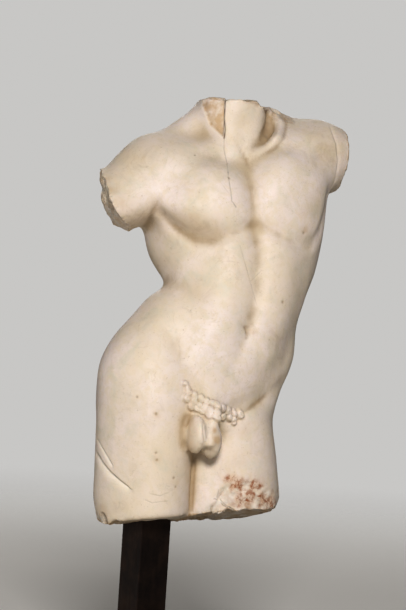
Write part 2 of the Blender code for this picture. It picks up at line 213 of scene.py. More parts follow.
# Fineness of the carving: spacings of the skin in body units, rounds of settling at each
SKIN_STEPS = (8.0, 6.0, 3.4)
SETTLE_ROUNDS = (4, 4, 2)

# The photograph's view: its size in pixels, the camera's place and the pixel that the pubis falls on
PHOTO_WIDTH = 406
PHOTO_HEIGHT = 610
CAMERA_AZIMUTH = -35
CAMERA_ROLL = 3.7
CAMERA_DISTANCE = 3.2
PIXEL = 1.628 * UNIT
PUBIS = (0, -80, 0)
PUBIS_PIXEL = (212, 402)

# The round floor, and the distances from its middle between which it fades into the plain background
FLOOR_RADIUS = 4.0
FLOOR_FADE = (FLOOR_RADIUS * 0.25, FLOOR_RADIUS * 0.97)

# Soft square lights: degrees to the right of the camera, degrees up, size, colour, distance
LIGHTS = {
    "main light": (3, 21, 0.8, (1.0, 0.98, 0.95), 3.8),
    "fill light": (-85, 2, 1.6, (1.0, 0.97, 0.92), 2.6),
    "back light": (182, 30, 2.4, (1.0, 0.98, 0.95), 3.4),
}
LIT_HEIGHT = 0.52
ROOM_LIGHT = (1.0, 0.86, 0.66, 1.0)
VIEW_GAMMA = 0.80
VIEW_EXPOSURE = 0.10


def through(stations, column, heights):
    """The smooth curve through one column of a table of stations, read at these heights."""
    table = np.array(stations, float)
    knots, values = table[:, 0], table[:, column]
    slopes = np.gradient(values, knots)
    below = np.clip(np.searchsorted(knots, heights) - 1, 0, len(knots) - 2)
    step = knots[below + 1] - knots[below]
    t = np.clip((heights - knots[below]) / step, 0, 1)
    rise = values[below + 1] - values[below]
    return (
        values[below]
        + rise * t * t * (3 - 2 * t)
        + step * slopes[below] * t * (1 - t) ** 2
        - step * slopes[below + 1] * t * t * (1 - t)
    )


def joined(a, b, softness):
    """The union of two forms, with a fillet of this softness."""
    share = np.clip(0.5 + 0.5 * (b - a) / softness, 0, 1)
    return b * (1 - share) + a * share - softness * share * (1 - share)


def swelling(p, centre, radii, turn):
    """Distance to an ellipsoid, near its surface."""
    matrix = np.array(Euler([math.radians(a) for a in turn]).to_matrix())
    local = (p - np.array(centre, float)) @ matrix
    radii = np.array(radii, float)
    near = np.linalg.norm(local / radii, axis=1)
    return near * (near - 1) / np.maximum(np.linalg.norm(local / radii**2, axis=1), 1e-9)


def rod(p, start, end, start_radius, end_radius):
    """Distance to a tapered rod with round ends."""
    start, end = np.array(start, float), np.array(end, float)
    along = end - start
    t = np.clip((p - start) @ along / max(along @ along, 1e-12), 0, 1)
    radius = start_radius + (end_radius - start_radius) * t
    return np.linalg.norm(p - start - t[:, None] * along, axis=1) - radius


def near_route(p, route):
    """Distance to a line of straight stretches."""
    return np.min([rod(p, a, b, 0, 0) for a, b in zip(route, route[1:])], axis=0)


def trunk(p):
    """Distance to the sections of the trunk, closed at both ends."""
    width, front, back, square = (through(TRUNK_STATIONS, i, p[:, 2]) for i in (1, 2, 3, 4))
    depth = np.where(p[:, 1] < 0, front, back)
    reach = np.hypot(p[:, 0], p[:, 1]) + 1e-6
    share = (np.abs(p[:, 0] / width) ** square + np.abs(p[:, 1] / depth) ** square) ** (1 / square)
    side = reach - reach / np.maximum(share, 1e-6)
    ends = np.maximum(TRUNK_STATIONS[0][0] - p[:, 2], p[:, 2] - TRUNK_STATIONS[-1][0])
    return -joined(-side, -ends, 20)


def body(p):
    """Distance to the upright body."""
    mirrored = p.copy()
    mirrored[:, 0] = np.abs(p[:, 0])
    f = trunk(p)
    for start, end, r0, r1, softness in SINGLE_RODS.values():
        f = joined(f, rod(p, start, end, r0, r1), softness)
    for centre, radii, turn, softness in PAIRED_SWELLINGS.values():
        f = joined(f, swelling(mirrored, centre, radii, turn), softness)
    for centre, radii, turn, softness in (*MIDDLE_SWELLINGS.values(), *SINGLE_SWELLINGS.values()):
        f = joined(f, swelling(p, centre, radii, turn), softness)
    for start, end, r0, r1, softness in PAIRED_RODS.values():
        f = joined(f, rod(mirrored, start, end, r0, r1), softness)
    for route, depth, width in PAIRED_GROOVES.values():
        f = f + depth * np.exp(-((near_route(mirrored, route) / width) ** 2))
    for route, depth, width in (*MIDDLE_GROOVES.values(), *SINGLE_GROOVES.values()):
        f = f + depth * np.exp(-((near_route(p, route) / width) ** 2))
    return f


def settle(p, field):
    """Moves each point straight onto the surface where the field is nil."""
    probe, gentlest, furthest = 0.5, 0.05, 8
    value = field(p)
    slope = np.stack([(field(p + probe * axis) - value) / probe for axis in np.eye(3)], axis=1)
    steep = np.maximum((slope**2).sum(1), gentlest)
    move = -slope * (value / steep)[:, None]
    length = np.linalg.norm(move, axis=1)
    return p + move * np.minimum(1, furthest / np.maximum(length, 1e-9))[:, None]


def posed(p):
    """Tilts the shoulders and bends the upright body along its spine."""
    raised = np.clip((p[:, 2] - TILT_START) / TILT_RANGE, 0, 1)
    lift = np.tan(math.radians(SHOULDER_TILT)) * raised * raised * (3 - 2 * raised)
    p = p + lift[:, None] * p[:, :1] * np.array([0, 0, 1.0])
    fine = np.arange(POSE_STATIONS[0][0], POSE_STATIONS[-1][0] + 1, 1.0)
    lean, back, turn = (np.radians(through(POSE_STATIONS, i, fine)) for i in (1, 2, 3))
    tangent = np.stack([np.sin(lean) * np.cos(back), np.sin(back), np.cos(lean) * np.cos(back)], axis=1)
    route = np.cumsum(tangent, axis=0)
    route -= route[np.searchsorted(fine, 0)]
    z = p[:, 2]
    origin = np.stack([np.interp(z, fine, route[:, i]) for i in range(3)], axis=1)
    over = z - np.clip(z, fine[0], fine[-1])
    lean, back, turn = (np.interp(z, fine, angle) for angle in (lean, back, turn))
    along = np.stack([np.sin(lean) * np.cos(back), np.sin(back), np.cos(lean) * np.cos(back)], axis=1)
    across = np.stack([np.cos(lean), np.zeros_like(lean), -np.sin(lean)], axis=1)
    behind = np.cross(along, across)
    x = p[:, 0] * np.cos(turn) - p[:, 1] * np.sin(turn)
    y = p[:, 0] * np.sin(turn) + p[:, 1] * np.cos(turn)
    return origin + across * x[:, None] + behind * y[:, None] + along * over[:, None]


def placed(p):
    """Body units to metres, with the middle of the right thigh's break over the post."""
    turn, lean = math.radians(FIGURE_TURN), math.radians(FIGURE_LEAN)
    thigh = posed(np.array([BREAKS["right_thigh"][0]], float))[0]
    p = (p - thigh) * UNIT
    x = p[:, 0] * math.cos(lean) + p[:, 2] * math.sin(lean)
    z = p[:, 2] * math.cos(lean) - p[:, 0] * math.sin(lean)
    foot = np.array([POST_X, POST_Y, BASE_HEIGHT + POST_EXPOSED])
    forward = x * math.cos(turn) - p[:, 1] * math.sin(turn)
    sideways = x * math.sin(turn) + p[:, 1] * math.cos(turn)
    return foot + np.stack([forward, sideways, z], axis=1)


def on_body(point):
    """Where a point of the upright body ends up in the finished torso."""
    return placed(posed(np.array([point], float)))[0]


def grain(p, size):
    """Smooth noise from -1 to 1, from a lattice of hashed values."""
    cell = np.floor(p / size)
    t = p / size - cell
    t = t * t * (3 - 2 * t)
    total = np.zeros(len(p))
    for corner in np.ndindex(2, 2, 2):
        key = (cell + corner) @ np.array([12.9898, 78.233, 37.719])
        value = np.modf(np.abs(np.sin(key) * 43758.5453))[0] * 2 - 1
        weight = np.prod(np.where(np.array(corner) == 1, t, 1 - t), axis=1)
        total += value * weight
    return total


def scatter(i):
    """A number from 0 to 1 that looks random and is the same on each run."""
    return math.modf(abs(math.sin(12.9898 * i + 4.1414)) * 43758.5453)[0]


def broken(p):
    """Flattens what lies past each break onto a rough face."""
    p = p.copy()
    for middle, runs, faces, reach, rough, bulge in BREAKS.values():
        middle, runs, faces = (np.array(v, float) for v in (middle, runs, faces))
        runs, faces = runs / np.linalg.norm(runs), faces / np.linalg.norm(faces)
        near = np.linalg.norm(p - middle, axis=1) < reach
        flat = p - runs * (((p - middle) @ faces) / (runs @ faces))[:, None]
        face = rough * (grain(flat, 34.0) + 0.5 * grain(flat, 13.0))
        face += bulge * np.clip(1 - (np.linalg.norm(flat - middle, axis=1) / BULGE_REACH) ** 2, 0, 1)
        past = (p - middle) @ faces - face
        cut = near & (past > 0)
        p[cut] -= runs * (past[cut] / (runs @ faces))[:, None]
    return stepped(p)


def stepped(p):
    """Lowers the left part of the neck's break by a step."""
    side, top, rough = NECK_STEP
    share = np.clip((p[:, 0] + 2 * grain(p, 9.0) - side) / 3, 0, 1)
    over = p[:, 2] - top - rough * grain(p * np.array([1, 1, 0.0]), 11.0)
    p[:, 2] -= np.where((over > 0) & (p[:, 2] > top - 10), over * share, 0)
    return p


# Meshes


def coordinates(mesh):
    flat = np.empty(len(mesh.vertices) * 3, np.float32)
    mesh.vertices.foreach_get("co", flat)
    return flat.reshape(-1, 3).astype(float)


def normals(mesh):
    flat = np.empty(len(mesh.vertices) * 3, np.float32)
    mesh.vertex_normals.foreach_get("vector", flat)
    return flat.reshape(-1, 3).astype(float)


def set_coordinates(mesh, p):
    mesh.vertices.foreach_set("co", p.astype(np.float32).ravel())
    mesh.update()


def edge_ends(mesh):
    flat = np.empty(len(mesh.edges) * 2, np.int32)
    mesh.edges.foreach_get("vertices", flat)
    return flat.reshape(-1, 2)


def averaged(values, ends, rounds):
    """Evens out a value, or a place, among neighbouring points of a mesh."""
    values = values.reshape(len(values), -1).astype(float)
    count = np.bincount(ends.ravel(), minlength=len(values))[:, None]
    for _ in range(rounds):
        total = np.zeros_like(values)
        for i in range(values.shape[1]):
            for a, b in ((0, 1), (1, 0)):
                total[:, i] += np.bincount(ends[:, a], values[ends[:, b], i], len(values))
        values = 0.5 * values + 0.5 * total / np.maximum(count, 1)
    return values


def add_ball(bm, centre, radii, turn=(0, 0, 0)):
    made = bmesh.ops.create_icosphere(bm, subdivisions=3, radius=1)["verts"]
    bmesh.ops.scale(bm, verts=made, vec=radii)
    matrix = Euler([math.radians(a) for a in turn]).to_matrix()
    bmesh.ops.rotate(bm, verts=made, cent=(0, 0, 0), matrix=matrix)
    bmesh.ops.translate(bm, verts=made, vec=centre)


def add_rod(bm, start, end, start_radius, end_radius):
    balls = 12
    for i in range(balls + 1):
        t = i / balls
        centre = Vector(start).lerp(Vector(end), t)
        radius = start_radius + (end_radius - start_radius) * t
        add_ball(bm, centre, (radius,) * 3)


def mirror_of(point):
    return (-point[0], point[1], point[2])


def rough_body():
    """The main masses as overlapping balls, joined into one skin by a voxel remesh."""
    bm = bmesh.new()
    spacing, half_height = 12, 16
    for height in range(TRUNK_STATIONS[0][0] + spacing, TRUNK_STATIONS[-1][0], spacing):
        at = np.array([float(height)])
        width, front, back = (float(through(TRUNK_STATIONS, i, at)[0]) for i in (1, 2, 3))
        add_ball(bm, (0, (back - front) / 2, height), (width, (front + back) / 2, half_height))
    for start, end, r0, r1, _ in SINGLE_RODS.values():
        add_rod(bm, start, end, r0, r1)
    for name in ("deltoid", "pectoral", "buttock", "outer_hip", "latissimus"):
        centre, radii, turn, _ = PAIRED_SWELLINGS[name]
        add_ball(bm, centre, radii, turn)
        add_ball(bm, mirror_of(centre), radii, (turn[0], -turn[1], -turn[2]))
    for name in ("right_lobe", "left_lobe"):
        centre, radii, turn, _ = SINGLE_SWELLINGS[name]
        add_ball(bm, centre, radii, turn)
    start, end, r0, r1, _ = PAIRED_RODS["trapezius"]
    add_rod(bm, start, end, r0, r1)
    add_rod(bm, mirror_of(start), mirror_of(end), r0, r1)
    return bm


def apply_modifiers(obj):
    graph = bpy.context.evaluated_depsgraph_get()
    mesh = bpy.data.meshes.new_from_object(obj.evaluated_get(graph))
    obj.modifiers.clear()
    obj.data = mesh


def remeshed(obj, step):
    modifier = obj.modifiers.new("one skin", "REMESH")
    modifier.mode = "VOXEL"
    modifier.voxel_size = step
    apply_modifiers(obj)


def relax(mesh, rounds):
    bm = bmesh.new()
    bm.from_mesh(mesh)
    for _ in range(rounds):
        bmesh.ops.smooth_vert(
            bm, verts=bm.verts, factor=0.5, use_axis_x=True, use_axis_y=True, use_axis_z=True
        )
    bm.to_mesh(mesh)
    bm.free()


def plain_torso(step):
    """The posed and broken torso, with an even skin of this spacing and no marks."""
    mesh = bpy.data.meshes.new("marble_torso")
    bm = rough_body()
    bm.to_mesh(mesh)
    bm.free()
    torso = bpy.data.objects.new("marble_torso", mesh)
    bpy.context.scene.collection.objects.link(torso)
    for size, rounds in zip(SKIN_STEPS, SETTLE_ROUNDS):
        remeshed(torso, size)
        for _ in range(rounds):
            set_coordinates(torso.data, settle(coordinates(torso.data), body))
            relax(torso.data, 1)
    for _ in range(2):
        set_coordinates(torso.data, settle(coordinates(torso.data), body))
    set_coordinates(torso.data, placed(posed(broken(coordinates(torso.data)))))
    remeshed(torso, step)
    relax(torso.data, 1)
    return torso


# The photograph's view


def camera_turn():
    """The camera's axes: right, up and back."""
    a = math.radians(CAMERA_AZIMUTH)
    back = Vector((math.sin(a), -math.cos(a), 0))
    level = (-back).to_track_quat("-Z", "Y").to_matrix()
    return level @ Matrix.Rotation(math.radians(CAMERA_ROLL), 3, "Z")


def camera_place():
    pubis = Vector(on_body(PUBIS))
    right, up, back = camera_turn().col
    across = (PUBIS_PIXEL[0] - PHOTO_WIDTH / 2) * PIXEL
    rise = (PHOTO_HEIGHT / 2 - PUBIS_PIXEL[1]) * PIXEL
    return pubis + back * CAMERA_DISTANCE - right * across - up * rise


class Marks:
    """The torso's skin as points and normals, and the photograph's pixels cast onto it."""

    def __init__(self, mesh):
        self.mesh = mesh
        self.p = coordinates(mesh)
        self.n = normals(mesh)
        self.ends = edge_ends(mesh)
        bm = bmesh.new()
        bm.from_mesh(mesh)
        self.tree = BVHTree.FromBMesh(bm)
        bm.free()
        self.eye = camera_place()
        self.turn = camera_turn()
        local = (self.p - np.array(self.eye)) @ np.array(self.turn)
        focus = CAMERA_DISTANCE / PIXEL
        self.u = PHOTO_WIDTH / 2 + local[:, 0] / -local[:, 2] * focus
        self.v = PHOTO_HEIGHT / 2 - local[:, 1] / -local[:, 2] * focus
        self.facing = self.n @ np.array(self.turn.col[2])
        self.value = {}

    def seen(self, pixel):
        """The point and normal of the marble that the photograph shows at this pixel."""
        right, up, back = self.turn.col
        focus = CAMERA_DISTANCE / PIXEL
        x, y = pixel[0] - PHOTO_WIDTH / 2, PHOTO_HEIGHT / 2 - pixel[1]
        way = (right * x + up * y - back * focus).normalized()
        point, normal, _, _ = self.tree.ray_cast(self.eye, way)
        if point is None:
            point, normal, _, _ = self.tree.find_nearest(self.eye + way * CAMERA_DISTANCE)
        return np.array(point), np.array(normal)

    def route(self, pixels, spacing=3):
        """A line on the marble through these pixels."""
        line = []
        for a, b in zip(pixels, pixels[1:]):
            steps = max(1, round(math.dist(a, b) / spacing))
            for i in range(steps):
                t = i / steps
                line.append((a[0] + (b[0] - a[0]) * t, a[1] + (b[1] - a[1]) * t))
        line.append(pixels[-1])
        return [self.seen(pixel)[0] for pixel in line]

    def mark(self, name, amount):
        """Keeps the larger of a mark and what was there."""
        amount = np.clip(amount, 0, 1)
        self.value[name] = np.maximum(self.value.get(name, np.zeros(len(self.p))), amount)

    def press(self, route, depth, width, fades=False):
        """Presses a groove along a line on the marble and returns how deep into it each point is."""
        share = np.zeros(len(self.p))
        for i, (a, b) in enumerate(zip(route, route[1:])):
            here = np.exp(-((rod(self.p, a, b, 0, 0) / width) ** 2))
            if fades:
                here *= math.sin(math.pi * (i + 0.5) / (len(route) - 1)) ** 0.6
            share = np.maximum(share, here)
        self.p -= self.n * (share * depth)[:, None]
        return share

    def ledge(self, route, depth, narrow, wide):
        """Cuts a step along a line: steep on its right, running out slowly on its left."""
        nearest = np.full(len(self.p), 1e9)
        side = np.zeros(len(self.p))
        for a, b in zip(route, route[1:]):
            away = rod(self.p, a, b, 0, 0)
            closer = away < nearest
            nearest = np.where(closer, away, nearest)
            turned = (np.cross(b - a, self.p - a) * self.n).sum(1)
            side = np.where(closer, turned, side)
        width = np.where(side < 0, wide, narrow)
        share = np.exp(-((nearest / width) ** 2))
        self.p -= self.n * (share * depth)[:, None]
        return share

    def scoop(self, centre, radius, roughness=0.12):
        """Takes a hollow chip out of the marble where it lies inside a ball."""
        away = self.p - centre
        length = np.linalg.norm(away, axis=1)
        size = radius * (1 + roughness * grain(self.p, radius * 0.5))
        inside = length < size
        way = away[inside] / np.maximum(length[inside], 1e-9)[:, None]
        self.p[inside] = centre + way * size[inside, None]
        return inside

    def store(self):
        set_coordinates(self.mesh, self.p)
        for name, amount in self.value.items():
            layer = self.mesh.attributes.new(name, "FLOAT", "POINT")
            layer.data.foreach_set("value", amount.astype(np.float32))


def outline_depth(u, v, outline):
    """How far inside a closed outline in pixels each point lies, below nil outside it."""
    inside = np.zeros(len(u), bool)
    nearest = np.full(len(u), 1e9)
    for (x0, y0), (x1, y1) in zip(outline, outline[1:] + outline[:1]):
        crosses = (y0 > v) != (y1 > v)
        at = x0 + (v - y0) / (y1 - y0 if y1 != y0 else 1e-9) * (x1 - x0)
        inside ^= crosses & (u < at)
        dx, dy = x1 - x0, y1 - y0
        t = np.clip(((u - x0) * dx + (v - y0) * dy) / (dx * dx + dy * dy), 0, 1)
        nearest = np.minimum(nearest, np.hypot(u - x0 - t * dx, v - y0 - t * dy))
    return np.where(inside, nearest, -nearest)


def soft_step(low, high, x):
    """Rises smoothly from 0 at low to 1 at high."""
    t = np.clip((x - low) / (high - low), 0, 1)
    return t * t * (3 - 2 * t)


def spot(p, middle, radius):
    """1 at a place, fading to nil around it."""
    return np.exp(-((np.linalg.norm(p - middle, axis=1) / radius) ** 2))


# Where the marks lie, in pixels of the photograph. A crack has its depth, half width and darkness,
# a crease its depth and half width, and a ledge its depth, half widths on both sides and paleness.

CRACKS = {
    "throat": (((225, 101), (224, 118), (225, 130), (224, 138)), 0.0018, 0.0011, 1.0),
    "breast_high": (((224, 138), (224, 149), (227, 163), (228, 172)), 0.0003, 0.0007, 0.35),
    "breast": (((228, 172), (229, 180), (231, 192), (232, 201), (236, 207)), 0.0004, 0.0008, 0.5),
    "breast_side": (((203, 166), (214, 173), (222, 184), (231, 196)), 0.0001, 0.0006, 0.16),
    "belly": (((240, 245), (246, 266), (252, 288), (257, 305)), 0.0002, 0.0007, 0.22),
    "belly_side": (((250, 282), (262, 270)), 0.0001, 0.0007, 0.2),
    "corner": (((214, 499), (220, 500), (226, 506), (236, 511)), 0.0008, 0.0008, 0.55),
    "corner_side": (((219, 490), (217, 497)), 0.0006, 0.0007, 0.45),
    "thigh_low": (((145, 500), (152, 503), (168, 501)), 0.0003, 0.0006, 0.3),
    "thigh_lower": (((150, 494), (160, 496), (168, 493)), 0.0003, 0.0006, 0.2),
}
DEEP_CREASE = 0.006  # a crease gets as much dirt and painted shade as its depth is a share of this one
CREASE_DIRT_AND_SHADE = 0.8  # but no more than this
CREASES = {
    "notch": (((235, 139), (240, 148), (246, 159), (249, 168)), 0.0012, 0.0026),
    "neck_hollow": (((266, 106), (270, 117), (270, 129), (263, 141), (252, 148)), 0.0085, 0.0068),
    "neck_fold": (((272, 110), (277, 121), (275, 132), (268, 141), (257, 148)), 0.0040, 0.0026),
    "neck_fold_outside": (((281, 111), (287, 123), (284, 137), (275, 148), (264, 154)), 0.0020, 0.0030),
    "breast_turn": (((170, 217), (182, 226), (196, 232), (214, 233), (230, 230)), 0.0036, 0.0150),
    "armpit": (((160, 196), (155, 208), (150, 220), (145, 232)), 0.0026, 0.0044),
    "under_breast": (
        ((155, 200), (161, 213), (169, 224), (181, 234), (196, 241), (222, 242)), 0.0030, 0.0080
    ),
    "thighs": (((194, 456), (193, 470), (192, 485), (191, 500), (190, 516)), 0.0070, 0.0020),
    "between_lobes": (((204, 416), (203, 426), (204, 438), (206, 450)), 0.0010, 0.0016),
    "navel": (((246, 327), (248, 332), (247, 338)), 0.0030, 0.0024),
    "navel_fold": (((240, 322), (246, 329), (252, 326)), 0.0010, 0.0030),
    "groin": (((241, 415), (249, 409), (258, 402), (268, 393)), 0.0022, 0.0034),
    "under_hair": (((226, 423), (234, 422), (242, 419)), 0.0016, 0.0020),
}
LEDGES = {
    "upper": (((98, 440), (103, 449), (112, 465)), 0.0016, 0.0008, 0.0030, 1.0),
    "lower": (((97, 452), (103, 463), (111, 473), (120, 481), (128, 487)), 0.0034, 0.0009, 0.0062, 1.0),
    "left_shoulder": (
        ((326, 196), (335, 180), (338, 161), (336, 144), (330, 128)), 0.0013, 0.0006, 0.0050, 0.15
    ),
    "hip": (((150, 396), (152, 384), (150, 374)), 0.0003, 0.0006, 0.0014, 0.2),
    "hip_front": (((163, 382), (171, 392), (180, 398)), 0.0003, 0.0006, 0.0014, 0.2),
    "thigh_corner": (((223, 491), (219, 498), (222, 505), (231, 511)), 0.0018, 0.0010, 0.0040, 0.6),
}

# Pits: pixel and radius in pixels
PIT_DEPTH = 0.0009
PITS = (
    (229, 178, 1.3),
    (283, 302, 1.7),
    (137, 397, 1.2),
    (174, 478, 1.3),
    (176, 487, 1.2),
    (156, 414, 1.4),
    (156, 453, 1.2),
    (157, 460, 1.2),
    (304, 233, 1.4),
    (195, 155, 0.9),
    (247, 332, 1.9),
)

# Small stains of patina: pixel, radius in pixels, strength
STAINS = (
    (197, 218, 7, 0.50),
    (304, 214, 5, 0.30),
    (305, 230, 5, 0.75),
    (118, 205, 8, 0.55),
    (106, 180, 6, 0.60),
    (253, 332, 3, 0.60),
    (157, 414, 4, 0.50),
    (157, 458, 5, 0.45),
    (176, 484, 6, 0.40),
    (186, 430, 4, 0.25),
    (217, 440, 6, 1.50),
    (214, 431, 4, 1.10),
    (110, 190, 7, 0.70),
    (243, 430, 8, 0.35),
    (255, 404, 8, 0.35),
    (240, 460, 9, 0.30),
    (102, 510, 8, 0.55),
)

# Broad patches of painted shade on the marble: pixel, radius in pixels, strength
SHADE_PATCHES = (
    (330, 152, 20, 0.75),
    (266, 122, 11, 1.00),
    (300, 296, 16, 0.30),
    (112, 208, 15, 0.60),
    (136, 160, 22, 0.35),
    (276, 338, 14, 0.45),
    (240, 118, 12, 0.35),
    (318, 205, 14, 0.40),
    (190, 224, 14, 0.20),
)

# Outlines in pixels of the wedge that is broken out beside the throat and of the left thigh's rough chip
RECESS_DEPTH = 0.0050
NECK_RECESS = [(201, 104), (206, 97), (225, 97), (224, 138), (209, 125)]
LEFT_CHIP = [
    (194, 516),
    (207, 509),
    (215, 501),
    (219, 489),
    (229, 480),
    (246, 477),
    (262, 483),
    (283, 489),
    (284, 524),
    (194, 524),
]

# The rusty stain on the left thigh: pixel and radius in pixels
RUST_SPOTS = (
    (246, 495, 13),
    (237, 486, 9),
    (253, 486, 9),
    (238, 501, 8),
    (264, 499, 9),
    (272, 505, 8),
    (231, 480, 6),
)

# Chips out of rims: pixel, the ball's offset to the right, up and towards the camera, its radius, in pixels
RIM_CHIPS = (
    (101, 514, -12, -12, 2, 18),
    (113, 520, 0, -19, 6, 21),
    (190, 518, 4, -13, 4, 16),
    (170, 526, 2, -17, 2, 18),
    (275, 110, 7, 8, 4, 14),
    (206, 516, -2, -13, 5, 17),
)

# The broken faces: reach from the middle, depth below it, sizes and heights of the roughness
BREAK_REACH = 0.095
BREAK_DEPTH = 0.014
BREAK_RELIEF = ((0.012, 0.0013), (0.005, 0.0007))

# How rough, how pale and how stained each break is, and the same for the others. On the thighs' breaks,
# which face down, the stain is partly painted shade
PLAIN_BREAK = (1.0, 0.0, 0.3)
BREAK_FINISH = {
    "right_arm": (2.0, 1.0, 0.7),
    "left_arm": (0.5, 0.0, 0.8),
    "right_thigh": (1.0, 0.0, 1.0),
    "left_thigh": (1.0, 0.0, 1.3),
}

# A rounded corner of the left thigh's break: a line in pixels, with what is trimmed on its right hand
CORNER_REACH = 14
ROUNDED_CORNER = ((262, 513), (270, 511), (275, 507), (278, 501), (280, 492))

# The skyline of the neck's break
NECK_TOP = (
    (198, 90),
    (205, 98),
    (209, 97),
    (224, 97),
    (226, 101),
    (229, 99.5),
    (236, 98),
    (250, 98),
    (256, 99.5),
    (259, 103),
    (261, 107),
    (266, 106),
    (275, 109),
    (277, 90),
)

# Rows of curls: start, end, how far the row bows down, number, half width at start and end
CURL_ROWS = (
    ((184, 384), (188, 389), 0, 2, 2.2, 2.7),
    ((189, 392), (240, 415), 2, 10, 3.4, 3.4),
    ((188, 399), (234, 420), 1, 9, 3.8, 3.5),
    ((190, 406), (216, 417), 0, 5, 3.8, 3.4),
)
CURL_HEIGHT = 0.0030
CURL_BED = 0.0024

# The unevenness of the skin: size and depth
WEAR = ((0.045, 0.0005), (0.018, 0.00025), (0.007, 0.00010))

# Fine hollows, darkened with dirt and painted shade, and broad ones between the forms, darkened with painted
# shade: rounds of evening out the skin, rounds of evening out the dip, and the dips in metres that count as
# none and as full
HOLLOWS = {
    "dirt_and_shade": (4, 1, (0.00008, 0.0007)),
    "painted_shade": (52, 6, (-0.0006, 0.0032)),
}

# Painted shade on skin that faces down: how far up it faces where that starts and where it is full, and how
# strong it is
UNDERSIDE_SHADE = (0.1, -0.8)
UNDERSIDE_SHADE_ROUNDS = 6
UNDERSIDE_SHADE_STRENGTH = 0.8

# Where the skin is split finer: how far from each kind of mark, in metres, and more places in pixels
CRACK_CORE = 0.002
CRACK_REACH = 0.003
LEDGE_REACH = 0.007
PIT_REACH = 0.004
CURL_REACH = 0.010
LOBE_REACH = 0.022
RIM_REACH = 0.020
LOBE_PIXELS = ((196, 432), (212, 436), (208, 420), (208, 448))
NECK_PIXELS = ((212, 112), (218, 124))
CHIP_PIXELS = ((240, 490), (262, 495), (225, 503))
STUMP_PIXELS = ((103, 172), (105, 186), (108, 200), (113, 213), (120, 223))


def refine(mesh, near, rounds):
    """Splits the faces near the finely carved places."""
    for _ in range(rounds):
        bm = bmesh.new()
        bm.from_mesh(mesh)
        centres = np.array([f.calc_center_median() for f in bm.faces])
        chosen = near(centres)
        bm.faces.ensure_lookup_table()
        edges = {e for i in np.flatnonzero(chosen) for e in bm.faces[i].edges}
        bmesh.ops.subdivide_edges(bm, edges=list(edges), cuts=1, use_grid_fill=True)
        bm.to_mesh(mesh)
        bm.free()


def curl_places(marks):
    """Centre, normal and size of each curl of hair."""
    places = []
    for row, (start, end, bow, count, size_start, size_end) in enumerate(CURL_ROWS):
        for i in range(count):
            t = i / (count - 1)
            seed = 10 * row + i
            x = start[0] + (end[0] - start[0]) * t + 1.8 * (scatter(seed) - 0.5)
            y = start[1] + (end[1] - start[1]) * t + bow * 4 * t * (1 - t) + 1.8 * (scatter(seed + 60) - 0.5)
            point, normal = marks.seen((x, y))
            size = (size_start + (size_end - size_start) * t) * (0.85 + 0.3 * scatter(seed + 30))
            places.append((point, normal, size * PIXEL))
    return places


def carve_curls(marks):
    """Raises each curl as a small dome with a turning groove, on a low bed."""
    curls = np.zeros(len(marks.p))
    bed = np.zeros(len(marks.p))
    for i, (point, normal, size) in enumerate(curl_places(marks)):
        normal = normal / np.linalg.norm(normal)
        side = np.cross(normal, [0, 0, 1.0])
        side /= np.linalg.norm(side)
        up = np.cross(side, normal)
        turn = 0.2 + 1.1 * scatter(i)
        long_way = side * math.sin(turn) + up * math.cos(turn)
        wide_way = side * math.cos(turn) - up * math.sin(turn)
        away = marks.p - point
        x, y, lift = away @ wide_way / size, away @ long_way / (size * 1.35), away @ normal
        reach = np.hypot(x, y)
        angle = np.arctan2(y, x)
        dome = np.sqrt(np.clip(1 - reach**2, 0, 1))
        spiral = 0.5 + 0.5 * np.cos(2 * math.pi * reach * 1.3 - angle + 6 * scatter(i + 50))
        curl = dome * (0.78 + 0.22 * spiral) * (0.75 + 0.5 * scatter(i + 20))
        near = np.abs(lift) < 2.5 * size
        curls = np.maximum(curls, np.where(near, curl, 0))
        bed = np.maximum(bed, np.where(near, soft_step(1.45, 0.85, reach), 0))
    marks.p += marks.n * (curls * CURL_HEIGHT + bed * CURL_BED)[:, None]
    # The low bed between the curls is darkened with dirt and painted shade
    marks.mark("dirt_and_shade", bed * (1 - soft_step(0.0, 0.5, curls)) * 0.45)


def carve_wear(marks):
    """The faint unevenness of a hand-carved and weathered skin."""
    for size, depth in WEAR:
        marks.p += marks.n * (grain(marks.p, size) * depth)[:, None]


def carve_neck(marks):
    """The broken-out wedge beside the throat."""
    inside = outline_depth(marks.u, marks.v, NECK_RECESS)
    front = marks.facing > 0.1
    floor = soft_step(0.0, 1.6, inside) * (0.6 + 0.4 * soft_step(203, 224, marks.u))
    depth = RECESS_DEPTH * floor * (0.8 + 0.25 * grain(marks.p, 0.010))
    marks.p -= marks.n * np.where(front, depth, 0)[:, None]
    marks.mark("recess", np.where(front, soft_step(0.0, 1.2, inside), 0))


def carve_neck_top(marks):
    """Cuts the neck's break down to its uneven skyline."""
    up = np.array(marks.turn.col[1])
    line = np.interp(marks.u, [x for x, _ in NECK_TOP], [y for _, y in NECK_TOP])
    over = line + 0.6 * grain(marks.p, 0.006) - marks.v
    cut = (over > 0) & (marks.u > NECK_TOP[0][0]) & (marks.u < NECK_TOP[-1][0])
    marks.p[cut] -= up * (over[cut] * PIXEL)[:, None]


def carve_corner(marks):
    """Trims what lies beyond the rounded corner, straight back onto its line in the view."""
    right, up, _ = (np.array(axis) for axis in marks.turn.col)
    nearest = np.full(len(marks.p), 1e9)
    move = np.zeros((len(marks.p), 2))
    for a, b in zip(ROUNDED_CORNER, ROUNDED_CORNER[1:]):
        dx, dy = b[0] - a[0], b[1] - a[1]
        x, y = marks.u - a[0], marks.v - a[1]
        t = np.clip((x * dx + y * dy) / (dx * dx + dy * dy), 0, 1)
        away = np.stack([x - t * dx, y - t * dy], axis=1)
        distance = np.linalg.norm(away, axis=1)
        closer = distance < nearest
        nearest = np.where(closer, distance, nearest)
        beyond = closer & (dx * y - dy * x > 0)
        move = np.where(closer[:, None], away * beyond[:, None], move)
    near = nearest < CORNER_REACH
    marks.p -= (near * move[:, 0] * PIXEL)[:, None] * right - (near * move[:, 1] * PIXEL)[:, None] * up


